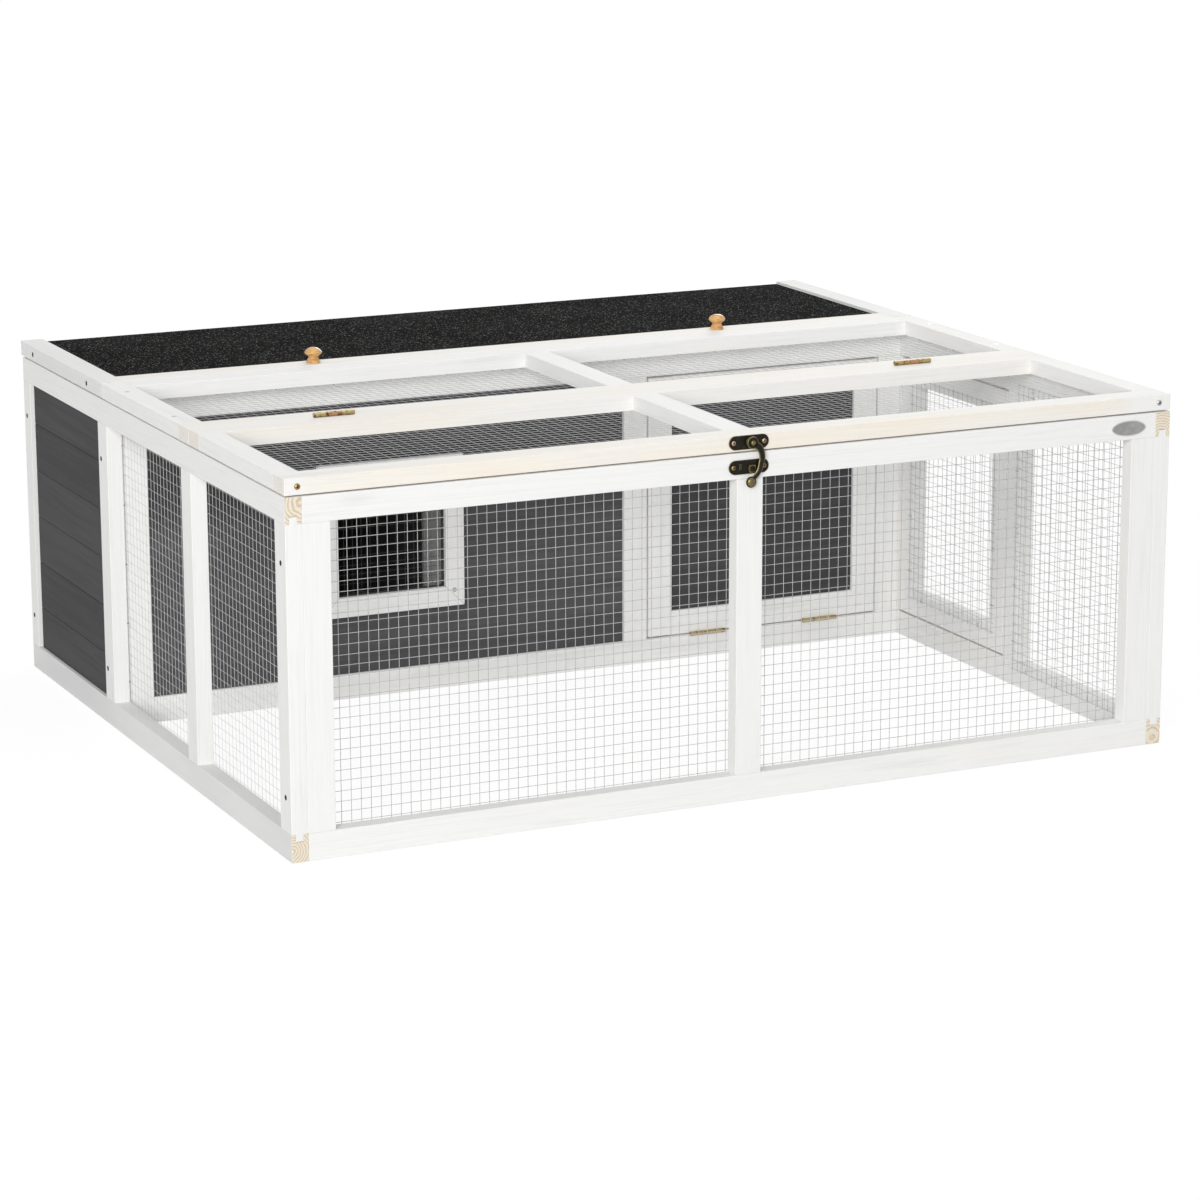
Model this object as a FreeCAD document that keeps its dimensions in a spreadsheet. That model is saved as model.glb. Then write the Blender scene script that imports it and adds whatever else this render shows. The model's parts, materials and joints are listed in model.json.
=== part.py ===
import FreeCAD, Part
import os
import Sketcher

os.makedirs("parts", exist_ok=True)
document = FreeCAD.newDocument("small_animal_hutch")
sheet = document.addObject("Spreadsheet::Sheet", "sizes")

# Driving sizes in millimetres
size_values = (
    # Body and frame stock
    ("body_width", 1200),
    ("body_depth", 1012),
    ("body_height", 438),
    ("stock_thickness", 21),
    ("top_rail_height", 32),
    ("bottom_rail_height", 34),
    ("post_width", 35),
    ("rear_post_width", 28),
    ("groove_width", 10),
    ("groove_depth", 9),
    ("tongue_clearance", 0.2),
    ("tongue_end_clearance", 0.4),
    # Places of the walls, measured back from the front face
    ("run_post_setback", 326),
    ("house_post_setback", 652),
    ("partition_setback", 658),
    ("seam_setback", 328),
    ("roof_split_setback", 664),
    # Wall boards
    ("board_count", 6),
    ("board_end_clearance", 0.3),
    ("board_joint_gap", 0.4),
    ("board_tongue_width", 3.4),
    ("board_tongue_height", 4),
    # Wire nets
    ("net_pitch", 114.3),
    ("net_wire", 1.6),
    ("net_overlap", 12),
    ("roof_net_overlap", 8),
    ("net_clearance", 0.6),
    # Partition, window and house door
    ("middle_post_left", 145),
    ("window_width", 156),
    ("window_height", 156),
    ("window_centre_left", 202),
    ("window_frame_width", 27),
    ("window_frame_thickness", 8),
    ("door_gap", 2.5),
    ("door_stile_width", 36),
    ("door_rail_height", 34),
    # Roof frames
    ("roof_thickness", 20),
    ("roof_overhang", 6),
    ("roof_side_width", 31),
    ("roof_cross_width", 37),
    ("roof_centre_width", 35),
    ("seam_gap", 0.6),
    ("rest_clearance", 0.2),
    ("roof_board_thickness", 9),
    ("felt_thickness", 2.5),
    ("felt_recess", 4),
    ("felt_clearance", 0.5),
    # Knobs
    ("knob_offset", 300),
    ("knob_base_radius", 9),
    ("knob_base_height", 3),
    ("knob_waist_radius", 6),
    ("knob_waist_height", 8),
    ("knob_head_radius", 12),
    ("knob_head_height", 14.5),
    ("knob_crown_radius", 7),
    ("knob_crown_height", 19.8),
    ("knob_height", 21),
    # Butt hinges
    ("hinge_length", 54),
    ("leaf_width", 16),
    ("leaf_thickness", 0.9),
    ("leaf_clearance", 0.2),
    ("knuckle_radius", 3),
    ("knuckle_length", 18),
    ("knuckle_clearance", 0.3),
    ("knuckle_lift", 0.1),
    ("pin_radius", 1.5),
    ("pin_clearance", 0.05),
    ("mortise_clearance", 0.3),
    ("front_hinge_offset", 410),
    ("roof_hinge_offset", 400),
    ("house_door_hinge_offset", 89),
    ("side_door_hinge_inset", 73.5),
    # Swing hook latches
    ("front_latch_rise", 13),
    ("side_latch_drop", 48.5),
    ("side_latch_inset", 18.5),
    ("latch_plate_length", 54),
    ("latch_plate_width", 17.6),
    ("latch_plate_thickness", 1.5),
    ("latch_plate_shift", 2.5),
    ("latch_boss_radius", 6),
    ("latch_pin_radius", 2.4),
    ("latch_head_radius", 3.4),
    ("latch_head_thickness", 1.2),
    ("latch_running_gap", 0.3),
    ("catch_drop", 30.3),
    ("catch_stud_radius", 4.3),
    ("catch_stud_right", 1.2),
    ("catch_stud_drop", 32.7),
    ("catch_stud_height", 4),
    ("hook_lift", 4.4),
    ("hook_thickness", 3),
    ("hook_eye_radius", 8.4),
    ("hook_arm_width", 6.6),
    ("hook_shoulder_right", 11.6),
    ("hook_shoulder_drop", 10.8),
    ("hook_bulge_right", 13.1),
    ("hook_bulge_drop", 18.2),
    ("hook_waist_right", 9.7),
    ("hook_waist_drop", 34.3),
    ("hook_neck_right", 5.5),
    ("hook_neck_drop", 46),
    ("hook_ball_left", 1.8),
    ("hook_ball_drop", 50.2),
    ("hook_ball_radius", 6.6),
    ("hook_ball_depth", 5.6),
)
for row, (alias, number) in enumerate(size_values, start=1):
    sheet.set("A%d" % row, str(number))
    sheet.setAlias("A%d" % row, alias)
document.recompute()

nodes = {}


def add(*terms):
    return "(" + " + ".join(terms) + ")"


def less(first, *terms):
    return "(" + " - ".join((first,) + terms) + ")"


def half(term):
    return "(" + term + " / 2)"


def minus(term):
    return "(-1 * " + term + ")"


def grown(span, amount):
    return (less(span[0], amount), add(span[1], amount))


def shrunk(span, amount):
    return (add(span[0], amount), less(span[1], amount))


def size(alias):
    return "sizes." + alias


def bind(item, formulas):
    for path, formula in formulas.items():
        item.setExpression(path, formula)
    return item


def block(name, x_range, y_range, z_range):
    item = document.addObject("Part::Box", name)
    return bind(item, {
        "Length": less(x_range[1], x_range[0]),
        "Width": less(y_range[1], y_range[0]),
        "Height": less(z_range[1], z_range[0]),
        "Placement.Base.x": x_range[0],
        "Placement.Base.y": y_range[0],
        "Placement.Base.z": z_range[0],
    })


def cylinder(name, radius, length, base, direction):
    item = document.addObject("Part::Cylinder", name)
    turn = FreeCAD.Rotation(FreeCAD.Vector(0, 0, 1), FreeCAD.Vector(*direction))
    item.Placement = FreeCAD.Placement(FreeCAD.Vector(), turn)
    return bind(item, {
        "Radius": radius,
        "Height": length,
        "Placement.Base.x": base[0],
        "Placement.Base.y": base[1],
        "Placement.Base.z": base[2],
    })


def gather(name, members):
    item = document.addObject("Part::Compound", name)
    item.Links = members
    return item


def fuse(name, members):
    item = document.addObject("Part::MultiFuse", name)
    item.Shapes = members
    item.Refine = True
    return item


def cut(name, base, tools):
    item = document.addObject("Part::Cut", name)
    item.Base = base
    item.Tool = tools[0] if len(tools) == 1 else gather(name + "_tools", tools)
    item.Refine = True
    return item


def keep(label, item):
    item.Label = label
    nodes[label] = item
    return item


def keep_group(label, members):
    return keep(label, gather(label, members))


def place(item, base, axes):
    turn = FreeCAD.Rotation(*[FreeCAD.Vector(*axis) for axis in axes], "XYZ")
    item.Placement = FreeCAD.Placement(FreeCAD.Vector(), turn)
    return bind(item, {
        "Placement.Base.x": base[0],
        "Placement.Base.y": base[1],
        "Placement.Base.z": base[2],
    })


# Shared places
zero = "0"
stock = size("stock_thickness")
left_face = minus(half(size("body_width")))
right_face = half(size("body_width"))
left_inner = add(left_face, stock)
right_inner = less(right_face, stock)
front_face = minus(half(add(size("body_depth"), size("roof_overhang"))))
rear_face = add(front_face, size("body_depth"))
roof_rear = add(rear_face, size("roof_overhang"))
run_post_front = add(front_face, size("run_post_setback"))
run_post_rear = add(run_post_front, size("post_width"))
house_post_front = add(front_face, size("house_post_setback"))
house_post_rear = add(house_post_front, size("post_width"))
rear_post_front = less(rear_face, size("rear_post_width"))
front_post_rear = add(front_face, size("post_width"))
partition_front = add(front_face, size("partition_setback"))
rail_floor = size("bottom_rail_height")
rail_ceiling = less(size("body_height"), size("top_rail_height"))
hinge_gap = add(size("leaf_thickness"), size("leaf_thickness"), size("leaf_clearance"))
roof_bottom = add(size("body_height"), hinge_gap)
roof_top = add(roof_bottom, size("roof_thickness"))
fixed_roof_bottom = less(roof_bottom, size("rest_clearance"))
fixed_roof_top = less(roof_top, size("rest_clearance"))
tongue_thickness = less(size("groove_width"), size("tongue_clearance"), size("tongue_clearance"))
tongue_reach = less(size("groove_depth"), size("tongue_end_clearance"))
groove_range = (half(less(stock, size("groove_width"))), half(add(stock, size("groove_width"))))
tongue_range = (half(less(stock, tongue_thickness)), half(add(stock, tongue_thickness)))
seated_range = (less(rail_floor, tongue_reach), add(rail_ceiling, tongue_reach))

# Each wall is a flat frame that runs along one axis, with its low face given
walls = {
    "front": ("x", front_face),
    "rear": ("x", less(rear_face, stock)),
    "partition": ("x", partition_front),
    "left": ("y", left_face),
    "right": ("y", right_inner),
}


def wall_block(wall, name, along, depth, z_range):
    axis, low = walls[wall]
    across = (add(low, depth[0]), add(low, depth[1]))
    if axis == "x":
        return block(name, along, across, z_range)
    return block(name, across, along, z_range)


def wall_rail(wall, label, along, z_range, groove_z, grooves):
    base = wall_block(wall, label + "_stock", along, (zero, stock), z_range)
    tools = [wall_block(wall, label + "_groove", groove, groove_range, groove_z) for groove in grooves]
    return keep(label, cut(label, base, tools))


def wall_rails(wall, along, grooves, top):
    low_groove = (less(rail_floor, size("groove_depth")), rail_floor)
    high_groove = (rail_ceiling, add(rail_ceiling, size("groove_depth")))
    wall_rail(wall, wall + "_bottom_rail", along, (zero, rail_floor), low_groove, grooves)
    wall_rail(wall, wall + "_top_rail", along, (rail_ceiling, top), high_groove, grooves)


def wall_posts(wall, places):
    posts = []
    for along in places:
        body = wall_block(wall, wall + "_post_body", along, (zero, stock), (rail_floor, rail_ceiling))
        tongue = wall_block(wall, wall + "_post_tongue", along, tongue_range, seated_range)
        posts.append(fuse(wall + "_post", [body, tongue]))
    return keep_group(wall + "_posts", posts)


def wall_boards(wall, bays):
    count = int(sheet.board_count)
    pitch = "(" + less(seated_range[1], seated_range[0]) + " / " + size("board_count") + ")"
    joint = half(size("board_joint_gap"))
    spare = size("tongue_clearance")
    tongue = (half(less(stock, size("board_tongue_width"))), half(add(stock, size("board_tongue_width"))))
    slot = (less(tongue[0], spare), add(tongue[1], spare))
    boards = []
    for bay in bays:
        along = shrunk(bay, size("board_end_clearance"))
        for index in range(count):
            low = add(seated_range[0], pitch + " * " + str(index))
            high = add(seated_range[0], pitch + " * " + str(index + 1))
            bottom = low if index == 0 else add(low, joint)
            top = high if index == count - 1 else less(high, joint)
            board = wall_block(wall, wall + "_board", along, tongue_range, (bottom, top))
            if index < count - 1:
                rise = (top, add(top, size("board_tongue_height")))
                lip = wall_block(wall, wall + "_board_tongue", along, tongue, rise)
                board = fuse(wall + "_board_with_tongue", [board, lip])
            if index > 0:
                sink = (bottom, add(bottom, size("board_tongue_height"), spare))
                channel = wall_block(wall, wall + "_board_slot", along, slot, sink)
                board = cut(wall + "_board_with_slot", board, [channel])
            boards.append(board)
    return keep_group(wall + "_boards", boards)


# Front wall between the side walls
front_places = (
    (left_inner, add(left_inner, size("post_width"))),
    (minus(half(size("post_width"))), half(size("post_width"))),
    (less(right_inner, size("post_width")), right_inner),
)
wall_rails("front", (left_inner, right_inner), front_places, size("body_height"))
wall_posts("front", front_places)

# Side walls from the front face to the rear face
side_places = (
    (front_face, front_post_rear),
    (run_post_front, run_post_rear),
    (house_post_front, house_post_rear),
    (rear_post_front, rear_face),
)
side_grooves = (side_places[0], side_places[1], (house_post_front, rear_face))
for wall in ("left", "right"):
    wall_rails(wall, (front_face, rear_face), side_grooves, size("body_height"))
    wall_posts(wall, side_places)
    wall_boards(wall, ((house_post_rear, rear_post_front),))

# Rear wall between the side walls
rear_places = front_places
wall_rails("rear", (left_inner, right_inner), ((left_inner, right_inner),), size("body_height"))
wall_posts("rear", rear_places)
wall_boards("rear", ((rear_places[0][1], rear_places[1][0]), (rear_places[1][1], rear_places[2][0])))

# Partition with its window; its top carries both roof frames
middle_post = (size("middle_post_left"), add(size("middle_post_left"), size("post_width")))
partition_places = (front_places[0], middle_post, front_places[2])
partition_grooves = ((left_inner, middle_post[1]), partition_places[2])
wall_rails("partition", (left_inner, right_inner), partition_grooves, fixed_roof_bottom)
wall_posts("partition", partition_places)
window_middle = minus(size("window_centre_left"))
window_level = half(size("body_height"))
window_x = grown((window_middle, window_middle), half(size("window_width")))
window_z = grown((window_level, window_level), half(size("window_height")))
panel_x = shrunk((partition_places[0][1], middle_post[0]), size("board_end_clearance"))
panel_sheet = wall_block("partition", "partition_sheet", panel_x, tongue_range, seated_range)
window_hole = wall_block("partition", "window_hole", window_x, (zero, stock), window_z)
keep("partition_panel", cut("partition_panel", panel_sheet, [window_hole]))


def mitred_strip(name, long_side, base, axes):
    width = size("window_frame_width")
    item = document.addObject("Part::Wedge", name)
    bind(item, {
        "Xmin": zero,
        "Xmax": add(long_side, width, width),
        "X2min": width,
        "X2max": add(long_side, width),
        "Ymin": zero,
        "Ymax": width,
        "Zmin": zero,
        "Zmax": size("window_frame_thickness"),
        "Z2min": zero,
        "Z2max": size("window_frame_thickness"),
    })
    return place(item, base, axes)


frame_seat = add(partition_front, tongue_range[0])
frame_x = grown(window_x, size("window_frame_width"))
frame_z = grown(window_z, size("window_frame_width"))
strip_face = (0, -1, 0)
keep_group("window_frame", [
    mitred_strip("window_bottom", size("window_width"), (frame_x[0], frame_seat, frame_z[0]),
                 ((1, 0, 0), (0, 0, 1), strip_face)),
    mitred_strip("window_top", size("window_width"), (frame_x[1], frame_seat, frame_z[1]),
                 ((-1, 0, 0), (0, 0, -1), strip_face)),
    mitred_strip("window_left", size("window_height"), (frame_x[0], frame_seat, frame_z[1]),
                 ((0, 0, -1), (1, 0, 0), strip_face)),
    mitred_strip("window_right", size("window_height"), (frame_x[1], frame_seat, frame_z[0]),
                 ((0, 0, 1), (-1, 0, 0), strip_face)),
])

# House door that drops into the run
house_door_x = shrunk((middle_post[1], partition_places[2][0]), size("door_gap"))
house_door_z = (add(rail_floor, hinge_gap), less(rail_ceiling, size("door_gap")))
house_panel_x = shrunk(house_door_x, size("door_stile_width"))
house_panel_z = shrunk(house_door_z, size("door_rail_height"))
house_mortise_x = grown(house_panel_x, size("groove_depth"))
house_tenon_x = grown(house_panel_x, tongue_reach)
house_groove_z = grown(house_panel_z, size("groove_depth"))
house_groove = wall_block("partition", "house_door_groove", house_mortise_x, groove_range, house_groove_z)
house_rail_spans = ((house_door_z[0], house_panel_z[0]), (house_panel_z[1], house_door_z[1]))
stile_spans = ((house_door_x[0], house_panel_x[0]), (house_panel_x[1], house_door_x[1]))
house_stiles = []
for span in stile_spans:
    stile = wall_block("partition", "house_door_stile_stock", span, (zero, stock), house_door_z)
    mortises = [
        wall_block("partition", "house_door_mortise", house_mortise_x, groove_range, rail_z)
        for rail_z in house_rail_spans
    ]
    house_stiles.append(cut("house_door_stile", stile, [house_groove] + mortises))
keep_group("house_door_stiles", house_stiles)
house_rails = []
for rail_z in house_rail_spans:
    rail = wall_block("partition", "house_door_rail_stock", house_panel_x, (zero, stock), rail_z)
    tenon = wall_block("partition", "house_door_tenon", house_tenon_x, tongue_range, rail_z)
    blank = fuse("house_door_rail_blank", [rail, tenon])
    house_rails.append(cut("house_door_rail", blank, [house_groove]))
keep_group("house_door_rails", house_rails)
keep("house_door_panel", wall_block(
    "partition", "house_door_panel", house_tenon_x, tongue_range, grown(house_panel_z, tongue_reach)))

# Side door in the right wall
side_door_y = (add(run_post_rear, size("door_gap")), less(house_post_front, hinge_gap))
side_door_z = shrunk((rail_floor, rail_ceiling), size("door_gap"))
side_open_y = shrunk(side_door_y, size("door_stile_width"))
side_open_z = shrunk(side_door_z, size("door_rail_height"))
side_mortise_y = grown(side_open_y, size("groove_depth"))
side_rail_spans = ((side_door_z[0], side_open_z[0]), (side_open_z[1], side_door_z[1]))
side_stiles = []
for span in ((side_door_y[0], side_open_y[0]), (side_open_y[1], side_door_y[1])):
    stile = wall_block("right", "side_door_stile_stock", span, (zero, stock), side_door_z)
    mortises = [
        wall_block("right", "side_door_mortise", side_mortise_y, groove_range, rail_z)
        for rail_z in side_rail_spans
    ]
    side_stiles.append(cut("side_door_stile", stile, mortises))
keep_group("side_door_stiles", side_stiles)
side_rails = []
for rail_z in side_rail_spans:
    rail = wall_block("right", "side_door_rail_stock", side_open_y, (zero, stock), rail_z)
    tenon = wall_block("right", "side_door_tenon", grown(side_open_y, tongue_reach), tongue_range, rail_z)
    side_rails.append(fuse("side_door_rail", [rail, tenon]))
keep_group("side_door_rails", side_rails)

# House roof: a board framed on three sides, with felt over it and over the low rear rail
house_roof_front = add(front_face, size("roof_split_setback"), size("seam_gap"))
house_roof_y = (house_roof_front, roof_rear)
roof_side_inner = shrunk((left_face, right_face), size("roof_side_width"))
roof_bay_y = shrunk(house_roof_y, size("roof_cross_width"))
board_top = less(roof_top, size("felt_recess"), size("felt_thickness"))
board_bottom = less(board_top, size("roof_board_thickness"))
roof_z = (roof_bottom, roof_top)
roof_slot = block(
    "roof_slot", grown(roof_side_inner, size("groove_depth")), grown(roof_bay_y, size("groove_depth")),
    (less(board_bottom, size("tongue_clearance")), add(board_top, size("tongue_clearance"))))


def slotted_rail(name, x_range, y_range, z_range):
    return cut(name, block(name + "_stock", x_range, y_range, z_range), [roof_slot])


keep_group("house_roof_side_rails", [
    slotted_rail("house_roof_left", (left_face, roof_side_inner[0]), house_roof_y, roof_z),
    slotted_rail("house_roof_right", (roof_side_inner[1], right_face), house_roof_y, roof_z),
])
knob_rail_y = (house_roof_front, roof_bay_y[0])
keep("house_roof_knob_rail", slotted_rail("house_roof_knob_rail", roof_side_inner, knob_rail_y, roof_z))
rear_rail_y = (roof_bay_y[1], roof_rear)
rear_rail_z = (roof_bottom, board_top)
keep("house_roof_rear_rail", slotted_rail("house_roof_rear_rail", roof_side_inner, rear_rail_y, rear_rail_z))
keep("house_roof_board", block(
    "house_roof_board", grown(roof_side_inner, tongue_reach), grown(roof_bay_y, tongue_reach),
    (board_bottom, board_top)))
felt_z = (board_top, add(board_top, size("felt_thickness")))
felt_gap = size("felt_clearance")
felt_x = shrunk(roof_side_inner, felt_gap)
keep("house_roof_felt", block("house_roof_felt", felt_x, (add(roof_bay_y[0], felt_gap), roof_rear), felt_z))

# Middle roof frame, fixed to the walls
seam = add(front_face, size("seam_setback"))
middle_front = add(seam, half(size("seam_gap")))
middle_rear = add(front_face, size("roof_split_setback"))
middle_bay_y = shrunk((middle_front, middle_rear), size("roof_cross_width"))
middle_z = (fixed_roof_bottom, fixed_roof_top)
centre_bar = (minus(half(size("roof_centre_width"))), half(size("roof_centre_width")))
keep_group("middle_side_rails", [
    block("middle_left", (left_face, roof_side_inner[0]), (middle_bay_y[0], middle_rear), middle_z),
    block("middle_right", (roof_side_inner[1], right_face), (middle_bay_y[0], middle_rear), middle_z),
])
keep("middle_rear_rail", block("middle_rear_rail", roof_side_inner, (middle_bay_y[1], middle_rear), middle_z))
keep("middle_centre_rail", block("middle_centre_rail", centre_bar, middle_bay_y, middle_z))

# Front lid
lid_rear = less(seam, half(size("seam_gap")))
lid_bay_y = shrunk((front_face, lid_rear), size("roof_cross_width"))
full_width = (left_face, right_face)
keep("front_lid_front_rail", block("front_lid_front_rail", full_width, (front_face, lid_bay_y[0]), roof_z))
keep_group("front_lid_bars", [
    block("front_lid_left", (left_face, roof_side_inner[0]), lid_bay_y, roof_z),
    block("front_lid_centre", centre_bar, lid_bay_y, roof_z),
    block("front_lid_right", (roof_side_inner[1], right_face), lid_bay_y, roof_z),
])

# The two rails at the seam are mortised for the hinge leaves
hinge_places = (minus(size("front_hinge_offset")), size("front_hinge_offset"))
mortise_depth = half(less(hinge_gap, size("seam_gap")))
mortise_reach = half(add(size("hinge_length"), size("mortise_clearance"), size("mortise_clearance")))
mortise_floor = less(fixed_roof_top, size("leaf_width"), size("mortise_clearance"))


def seam_rail(label, y_range, mortise_y, z_range):
    base = block(label + "_stock", full_width, y_range, z_range)
    mortise_z = (mortise_floor, z_range[1])
    tools = [
        block(label + "_mortise", grown((middle, middle), mortise_reach), mortise_y, mortise_z)
        for middle in hinge_places
    ]
    return keep(label, cut(label, base, tools))


middle_mortise_y = (middle_front, add(middle_front, mortise_depth))
lid_mortise_y = (less(lid_rear, mortise_depth), lid_rear)
seam_rail("middle_front_rail", (middle_front, middle_bay_y[0]), middle_mortise_y, middle_z)
seam_rail("front_lid_rear_rail", (lid_bay_y[1], lid_rear), lid_mortise_y, roof_z)

# Turned knobs
knob_body = document.addObject("PartDesign::Body", "knob")
knob_sketch = knob_body.newObject("Sketcher::SketchObject", "knob_profile")
knob_plane = [plane for plane in knob_body.Origin.OriginFeatures if plane.Role == "XZ_Plane"][0]
knob_sketch.AttachmentSupport = [(knob_plane, "")]
knob_sketch.MapMode = "FlatFace"
knob_corners = (
    ("knob_base_radius", None),
    ("knob_base_radius", "knob_base_height"),
    ("knob_waist_radius", "knob_waist_height"),
    ("knob_head_radius", "knob_head_height"),
    ("knob_crown_radius", "knob_crown_height"),
    (None, "knob_height"),
    (None, None),
)
knob_points = []
for across, up in knob_corners:
    knob_points.append(FreeCAD.Vector(sheet.get(across) if across else 0, sheet.get(up) if up else 0, 0))
for index, point in enumerate(knob_points):
    knob_sketch.addGeometry(Part.LineSegment(point, knob_points[(index + 1) % len(knob_points)]), False)
for index, (across, up) in enumerate(knob_corners):
    following = (index + 1) % len(knob_points)
    knob_sketch.addConstraint(Sketcher.Constraint("Coincident", index, 2, following, 1))
    for kind, alias in (("DistanceX", across), ("DistanceY", up)):
        if alias:
            number = knob_sketch.addConstraint(Sketcher.Constraint(kind, -1, 1, index, 1, sheet.get(alias)))
            knob_sketch.setExpression("Constraints[%d]" % number, size(alias))
        else:
            on_axis = -2 if kind == "DistanceX" else -1
            knob_sketch.addConstraint(Sketcher.Constraint("PointOnObject", index, 1, on_axis))
knob_turn = knob_body.newObject("PartDesign::Revolution", "knob_turn")
knob_turn.Profile = knob_sketch
knob_turn.ReferenceAxis = (knob_sketch, ["V_Axis"])
knob_turn.Angle = 360
knob_middle = half(add(*knob_rail_y))
upright = ((1, 0, 0), (0, 1, 0), (0, 0, 1))
knobs = []
for across in (minus(size("knob_offset")), size("knob_offset")):
    knobs.append(place(gather("placed_knob", [knob_body]), (across, knob_middle, roof_top), upright))
keep_group("roof_knobs", knobs)

# Butt hinge in its own frame: length along x, out of the face along y, moving leaf on the high side of z
hinge_half = half(size("hinge_length"))
knuckle_half = half(size("knuckle_length"))
knuckle_axis = add(size("knuckle_radius"), size("knuckle_lift"))
leaf_edge = less(knuckle_axis, size("knuckle_radius"), size("knuckle_clearance"))
leaf_outer = half(hinge_gap)
leaf_inner = half(size("leaf_clearance"))
leaf_y = (minus(size("leaf_width")), leaf_edge)
tab_y = (leaf_edge, knuckle_axis)
fixed_z = (minus(leaf_outer), minus(leaf_inner))
moving_z = (leaf_inner, leaf_outer)
along_x = (1, 0, 0)
hinge_start = (minus(hinge_half), knuckle_axis, zero)
outer_knuckle = less(hinge_half, knuckle_half, size("knuckle_clearance"))
fixed_leaf = fuse("fixed_leaf", [
    block("fixed_plate", (minus(hinge_half), hinge_half), leaf_y, fixed_z),
    block("fixed_tab", (minus(hinge_half), less(outer_knuckle, hinge_half)), tab_y, fixed_z),
    block("fixed_tab", (less(hinge_half, outer_knuckle), hinge_half), tab_y, fixed_z),
    cylinder("fixed_knuckle", size("knuckle_radius"), outer_knuckle, hinge_start, along_x),
    cylinder("fixed_knuckle", size("knuckle_radius"), outer_knuckle,
             (less(hinge_half, outer_knuckle), knuckle_axis, zero), along_x),
    cylinder("hinge_pin", size("pin_radius"), size("hinge_length"), hinge_start, along_x),
])
bore_radius = add(size("pin_radius"), size("pin_clearance"))
moving_leaf = cut("moving_leaf", fuse("moving_leaf_blank", [
    block("moving_plate", (minus(hinge_half), hinge_half), leaf_y, moving_z),
    block("moving_tab", (minus(knuckle_half), knuckle_half), tab_y, moving_z),
    cylinder("moving_knuckle", size("knuckle_radius"), size("knuckle_length"),
             (minus(knuckle_half), knuckle_axis, zero), along_x),
]), [cylinder("pin_bore", bore_radius, size("hinge_length"), hinge_start, along_x)])


def hinge_set(label, bases, axes):
    moving = [place(gather(label + "_moving", [moving_leaf]), base, axes) for base in bases]
    fixed = [place(gather(label + "_fixed", [fixed_leaf]), base, axes) for base in bases]
    keep_group(label + "_leaves", moving)
    keep_group(label + "_fixed_leaves", fixed)


hinge_set("front_lid", [(across, seam, roof_top) for across in hinge_places],
          ((1, 0, 0), (0, 0, 1), (0, -1, 0)))
roof_hinge_z = add(size("body_height"), half(hinge_gap))
roof_hinge_places = (minus(size("roof_hinge_offset")), size("roof_hinge_offset"))
hinge_set("house_roof", [(across, roof_rear, roof_hinge_z) for across in roof_hinge_places],
          ((1, 0, 0), (0, 1, 0), (0, 0, 1)))
house_door_middle = half(add(house_door_x[0], house_door_x[1]))
house_hinge_z = add(rail_floor, half(hinge_gap))
house_hinge_places = grown((house_door_middle, house_door_middle), size("house_door_hinge_offset"))
hinge_set("house_door", [(across, partition_front, house_hinge_z) for across in house_hinge_places],
          ((-1, 0, 0), (0, -1, 0), (0, 0, 1)))
side_hinge_y = less(house_post_front, half(hinge_gap))
side_hinge_levels = shrunk(side_door_z, size("side_door_hinge_inset"))
hinge_set("side_door", [(right_face, side_hinge_y, level) for level in side_hinge_levels],
          ((0, 0, -1), (1, 0, 0), (0, -1, 0)))

# Swing hook latch in its own frame: right along x, into the wood along y, up along z, pivot at the origin
out_of_wood = (0, -1, 0)
plate_half = half(less(size("latch_plate_length"), size("latch_plate_width")))
plate_radius = half(size("latch_plate_width"))
plate_middle = minus(size("latch_plate_shift"))
plate_ends = (less(plate_middle, plate_half), add(plate_middle, plate_half))


def latch_plate(name, drop, extras):
    level = minus(drop)
    thickness = size("latch_plate_thickness")
    rise = grown((level, level), plate_radius)
    members = [block(name + "_bar", plate_ends, (minus(thickness), zero), rise)]
    for end in plate_ends:
        members.append(cylinder(name + "_end", plate_radius, thickness, (end, zero, level), out_of_wood))
    return fuse(name, members + extras)


pivot = (zero, zero, zero)
hook_back = (zero, minus(size("hook_lift")), zero)
boss_height = less(size("hook_lift"), size("latch_running_gap"))
pin_height = add(size("hook_lift"), size("hook_thickness"), size("latch_running_gap"))
pivot_plate = latch_plate("pivot_plate", zero, [
    cylinder("pivot_boss", size("latch_boss_radius"), boss_height, pivot, out_of_wood),
    cylinder("pivot_pin", size("latch_pin_radius"), pin_height, pivot, out_of_wood),
    cylinder("pivot_head", size("latch_head_radius"), size("latch_head_thickness"),
             (zero, minus(pin_height), zero), out_of_wood),
])
catch_plate = latch_plate("catch_plate", size("catch_drop"), [
    cylinder("catch_stud", size("catch_stud_radius"), size("catch_stud_height"),
             (size("catch_stud_right"), zero, minus(size("catch_stud_drop"))), out_of_wood),
])

# The hook's arm is a strip of constant width along two arcs and a straight neck
hook_arm = document.addObject("Part::Feature", "hook_arm")
hook_line = [FreeCAD.Vector(0, -sheet.hook_lift, 0)]
for name in ("shoulder", "bulge", "waist", "neck"):
    right = sheet.get("hook_" + name + "_right")
    drop = sheet.get("hook_" + name + "_drop")
    hook_line.append(FreeCAD.Vector(right, -sheet.hook_lift, -drop))
hook_line.append(FreeCAD.Vector(-sheet.hook_ball_left, -sheet.hook_lift, -sheet.hook_ball_drop))
arm_line = Part.Wire([
    Part.Arc(*hook_line[0:3]).toShape(),
    Part.Arc(*hook_line[2:5]).toShape(),
    Part.makeLine(*hook_line[4:6]),
])
arm_outline = arm_line.makeOffset2D(sheet.hook_arm_width / 2)
hook_arm.Shape = Part.Face(arm_outline).extrude(FreeCAD.Vector(0, -sheet.hook_thickness, 0))
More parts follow.
